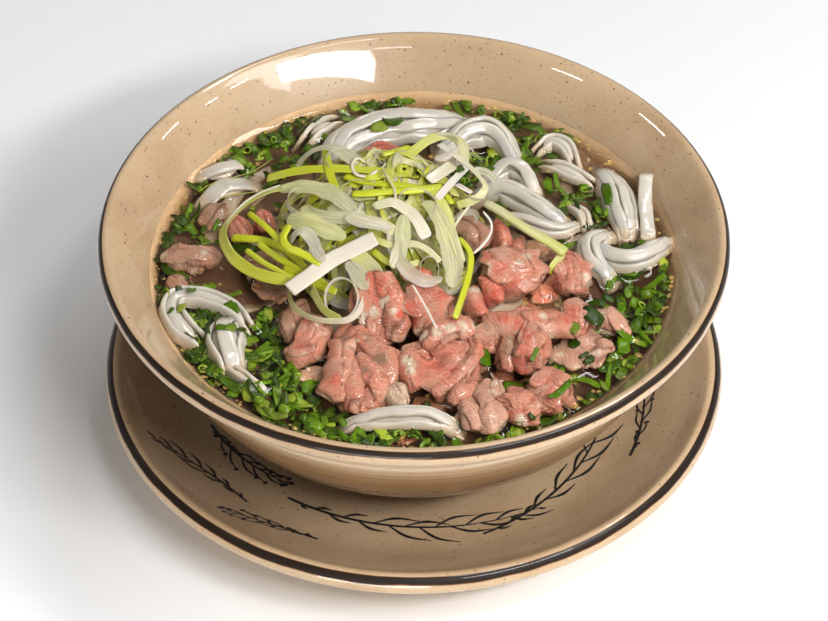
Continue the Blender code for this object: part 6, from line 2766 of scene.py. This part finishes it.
@dataclass(frozen=True)
class Panel:
    """A soft panel of light that faces the bowl.

    Attributes:
        name: Name of the light.
        azimuth: Degrees to the right of the camera's side.
        height: Degrees over the table.
        reach: Distance from the bowl in millimetres.
        size: Width and height in millimetres.
        power: Its power in watts.
        roll: Degrees that it is turned about the line to the bowl.
    """

    name: str
    azimuth: float
    height: float
    reach: float
    size: tuple[float, float]
    power: float
    roll: float = 0.0

    def hang(self) -> None:
        """Hangs the panel."""
        light = bpy.data.lights.new(self.name, "AREA")
        light.shape = "RECTANGLE"
        light.size, light.size_y = self.size[0] * MM, self.size[1] * MM
        light.energy = self.power
        made = bpy.data.objects.new(self.name, light)
        turn, rise = math.radians(self.azimuth), math.radians(self.height)
        away = Vector((math.sin(turn) * math.cos(rise), -math.cos(turn) * math.cos(rise), math.sin(rise)))
        made.location = (Vector((0, 0, 75)) + away * self.reach) * MM
        rolled = Quaternion((0, 0, 1), math.radians(self.roll))
        made.rotation_euler = (away.to_track_quat("Z", "Y") @ rolled).to_euler()
        bpy.context.scene.collection.objects.link(made)


PANELS: tuple[Panel, ...] = (
    Panel("front_right_softbox", 37.9, 42.3, 928.0, (500.0, 80.0), 5.6, -3.0),
    Panel("right_panel", 66.0, 44.0, 1200.0, (460.0, 360.0), 3.8),
    Panel("left_fill", -84.0, 46.0, 1300.0, (600.0, 500.0), 0.15),
    Panel("top_lamp", 138.0, 62.0, 1200.0, (820.0, 110.0), 4.6),
    Panel("front_fill", -12.0, 4.5, 1300.0, (800.0, 180.0), 7.5),
    Panel("high_lamp", 39.0, 64.5, 1047.0, (300.0, 80.0), 1.9),
    Panel("right_slit_low", 102.9, 23.4, 929.0, (140.0, 8.0), 0.12, -31.0),
    Panel("right_slit_middle", 84.5, 30.3, 930.0, (80.0, 8.0), 0.075, -24.0),
    Panel("right_slit_high", 72.9, 35.3, 930.0, (105.0, 8.0), 0.1, -22.0),
    Panel("middle_slit", 9.3, 45.8, 924.0, (190.0, 6.0), 0.1, -3.0),
    Panel("left_slit_high", -64.6, 38.0, 927.0, (170.0, 8.0), 0.16, 20.0),
    Panel("left_slit_low", -100.3, 25.1, 926.0, (200.0, 8.0), 0.18, 27.0),
)


@dataclass(frozen=True)
class Studio:
    """Pale floor, soft lights and the camera."""

    levels: Levels
    distance: float = 1010.3
    elevation: float = 43.68
    aim_y: float = -42.5
    lens: float = 130.43
    floor_steps: tuple[Station, ...] = (
        (-1600, 0), (-800, 0), (0, 0), (800, 0), (1400, 0), (1700, 40), (1900, 160), (2000, 420),
        (2020, 1200),
    )
    floor_reach: float = 2600.0

    def build(self) -> None:
        """Sets out floor, lights, world and camera."""
        self._floor()
        self._world()
        for panel in PANELS:
            panel.hang()
        self._camera()

    def _floor(self) -> None:
        """Lays a pale floor that rises gently far behind."""
        route = smooth_route([(0.0, float(y), float(z)) for y, z in self.floor_steps], 60.0)
        sides = (-self.floor_reach, self.floor_reach)
        points = [(x, y, z - 0.02) for _, y, z in route[:, :3] for x in sides]
        faces = [(2 * k, 2 * k + 1, 2 * k + 3, 2 * k + 2) for k in range(len(route) - 1)]
        batch = MeshBatch()
        batch.add(np.array(points), faces)
        floor = batch.build("floor", FloorFinish().build(), outward=False)

    @staticmethod
    def _world() -> None:
        """Gives an even white surround."""
        world = bpy.data.worlds.new("white_surround")
        world.use_nodes = True
        back = world.node_tree.nodes["Background"]
        back.inputs["Color"].default_value = (1.0, 1.0, 1.0, 1.0)
        back.inputs["Strength"].default_value = 0.12
        bpy.context.scene.world = world

    def _camera(self) -> None:
        """Stands the camera."""
        data = bpy.data.cameras.new("camera")
        data.lens = self.lens
        data.sensor_width = 36.0
        data.clip_end = 20.0
        made = bpy.data.objects.new("camera", data)
        tilt = math.radians(self.elevation)
        away = Vector((0, -math.cos(tilt), math.sin(tilt))) * self.distance
        made.location = (Vector((0, self.aim_y, self.levels.rim_z)) + away) * MM
        made.rotation_euler = (math.pi / 2 - tilt, 0.0, 0.0)
        bpy.context.scene.collection.objects.link(made)
        bpy.context.scene.camera = made


def main() -> None:
    """Builds every piece round the frame."""
    logging.basicConfig(level=logging.INFO, format="%(message)s")
    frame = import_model()
    bpy.context.scene.view_settings.view_transform = "Standard"
    levels = Levels.from_frame()
    effects = Effects(levels)
    crockery = Crockery(levels, effects)
    crockery.build()
    standing = [*Beef(levels, effects).build(), *Noodles(levels, effects).build()]
    shreds = Scallion(levels, effects).build()
    greens = Greens(levels, effects).build([*standing, *shreds])
    waterlines = [waterline_of(pieces, levels.broth_z) for pieces in ([*standing, *shreds], greens)]
    Broth(levels, crockery).build(effects, *waterlines)
    Oil(levels, crockery).build()
    Sprays(levels, crockery).build(effects)
    Studio(levels).build()
    LOG.info("%d nodes in the frame", len(frame["nodes"]))


if __name__ == "__main__":
    main()
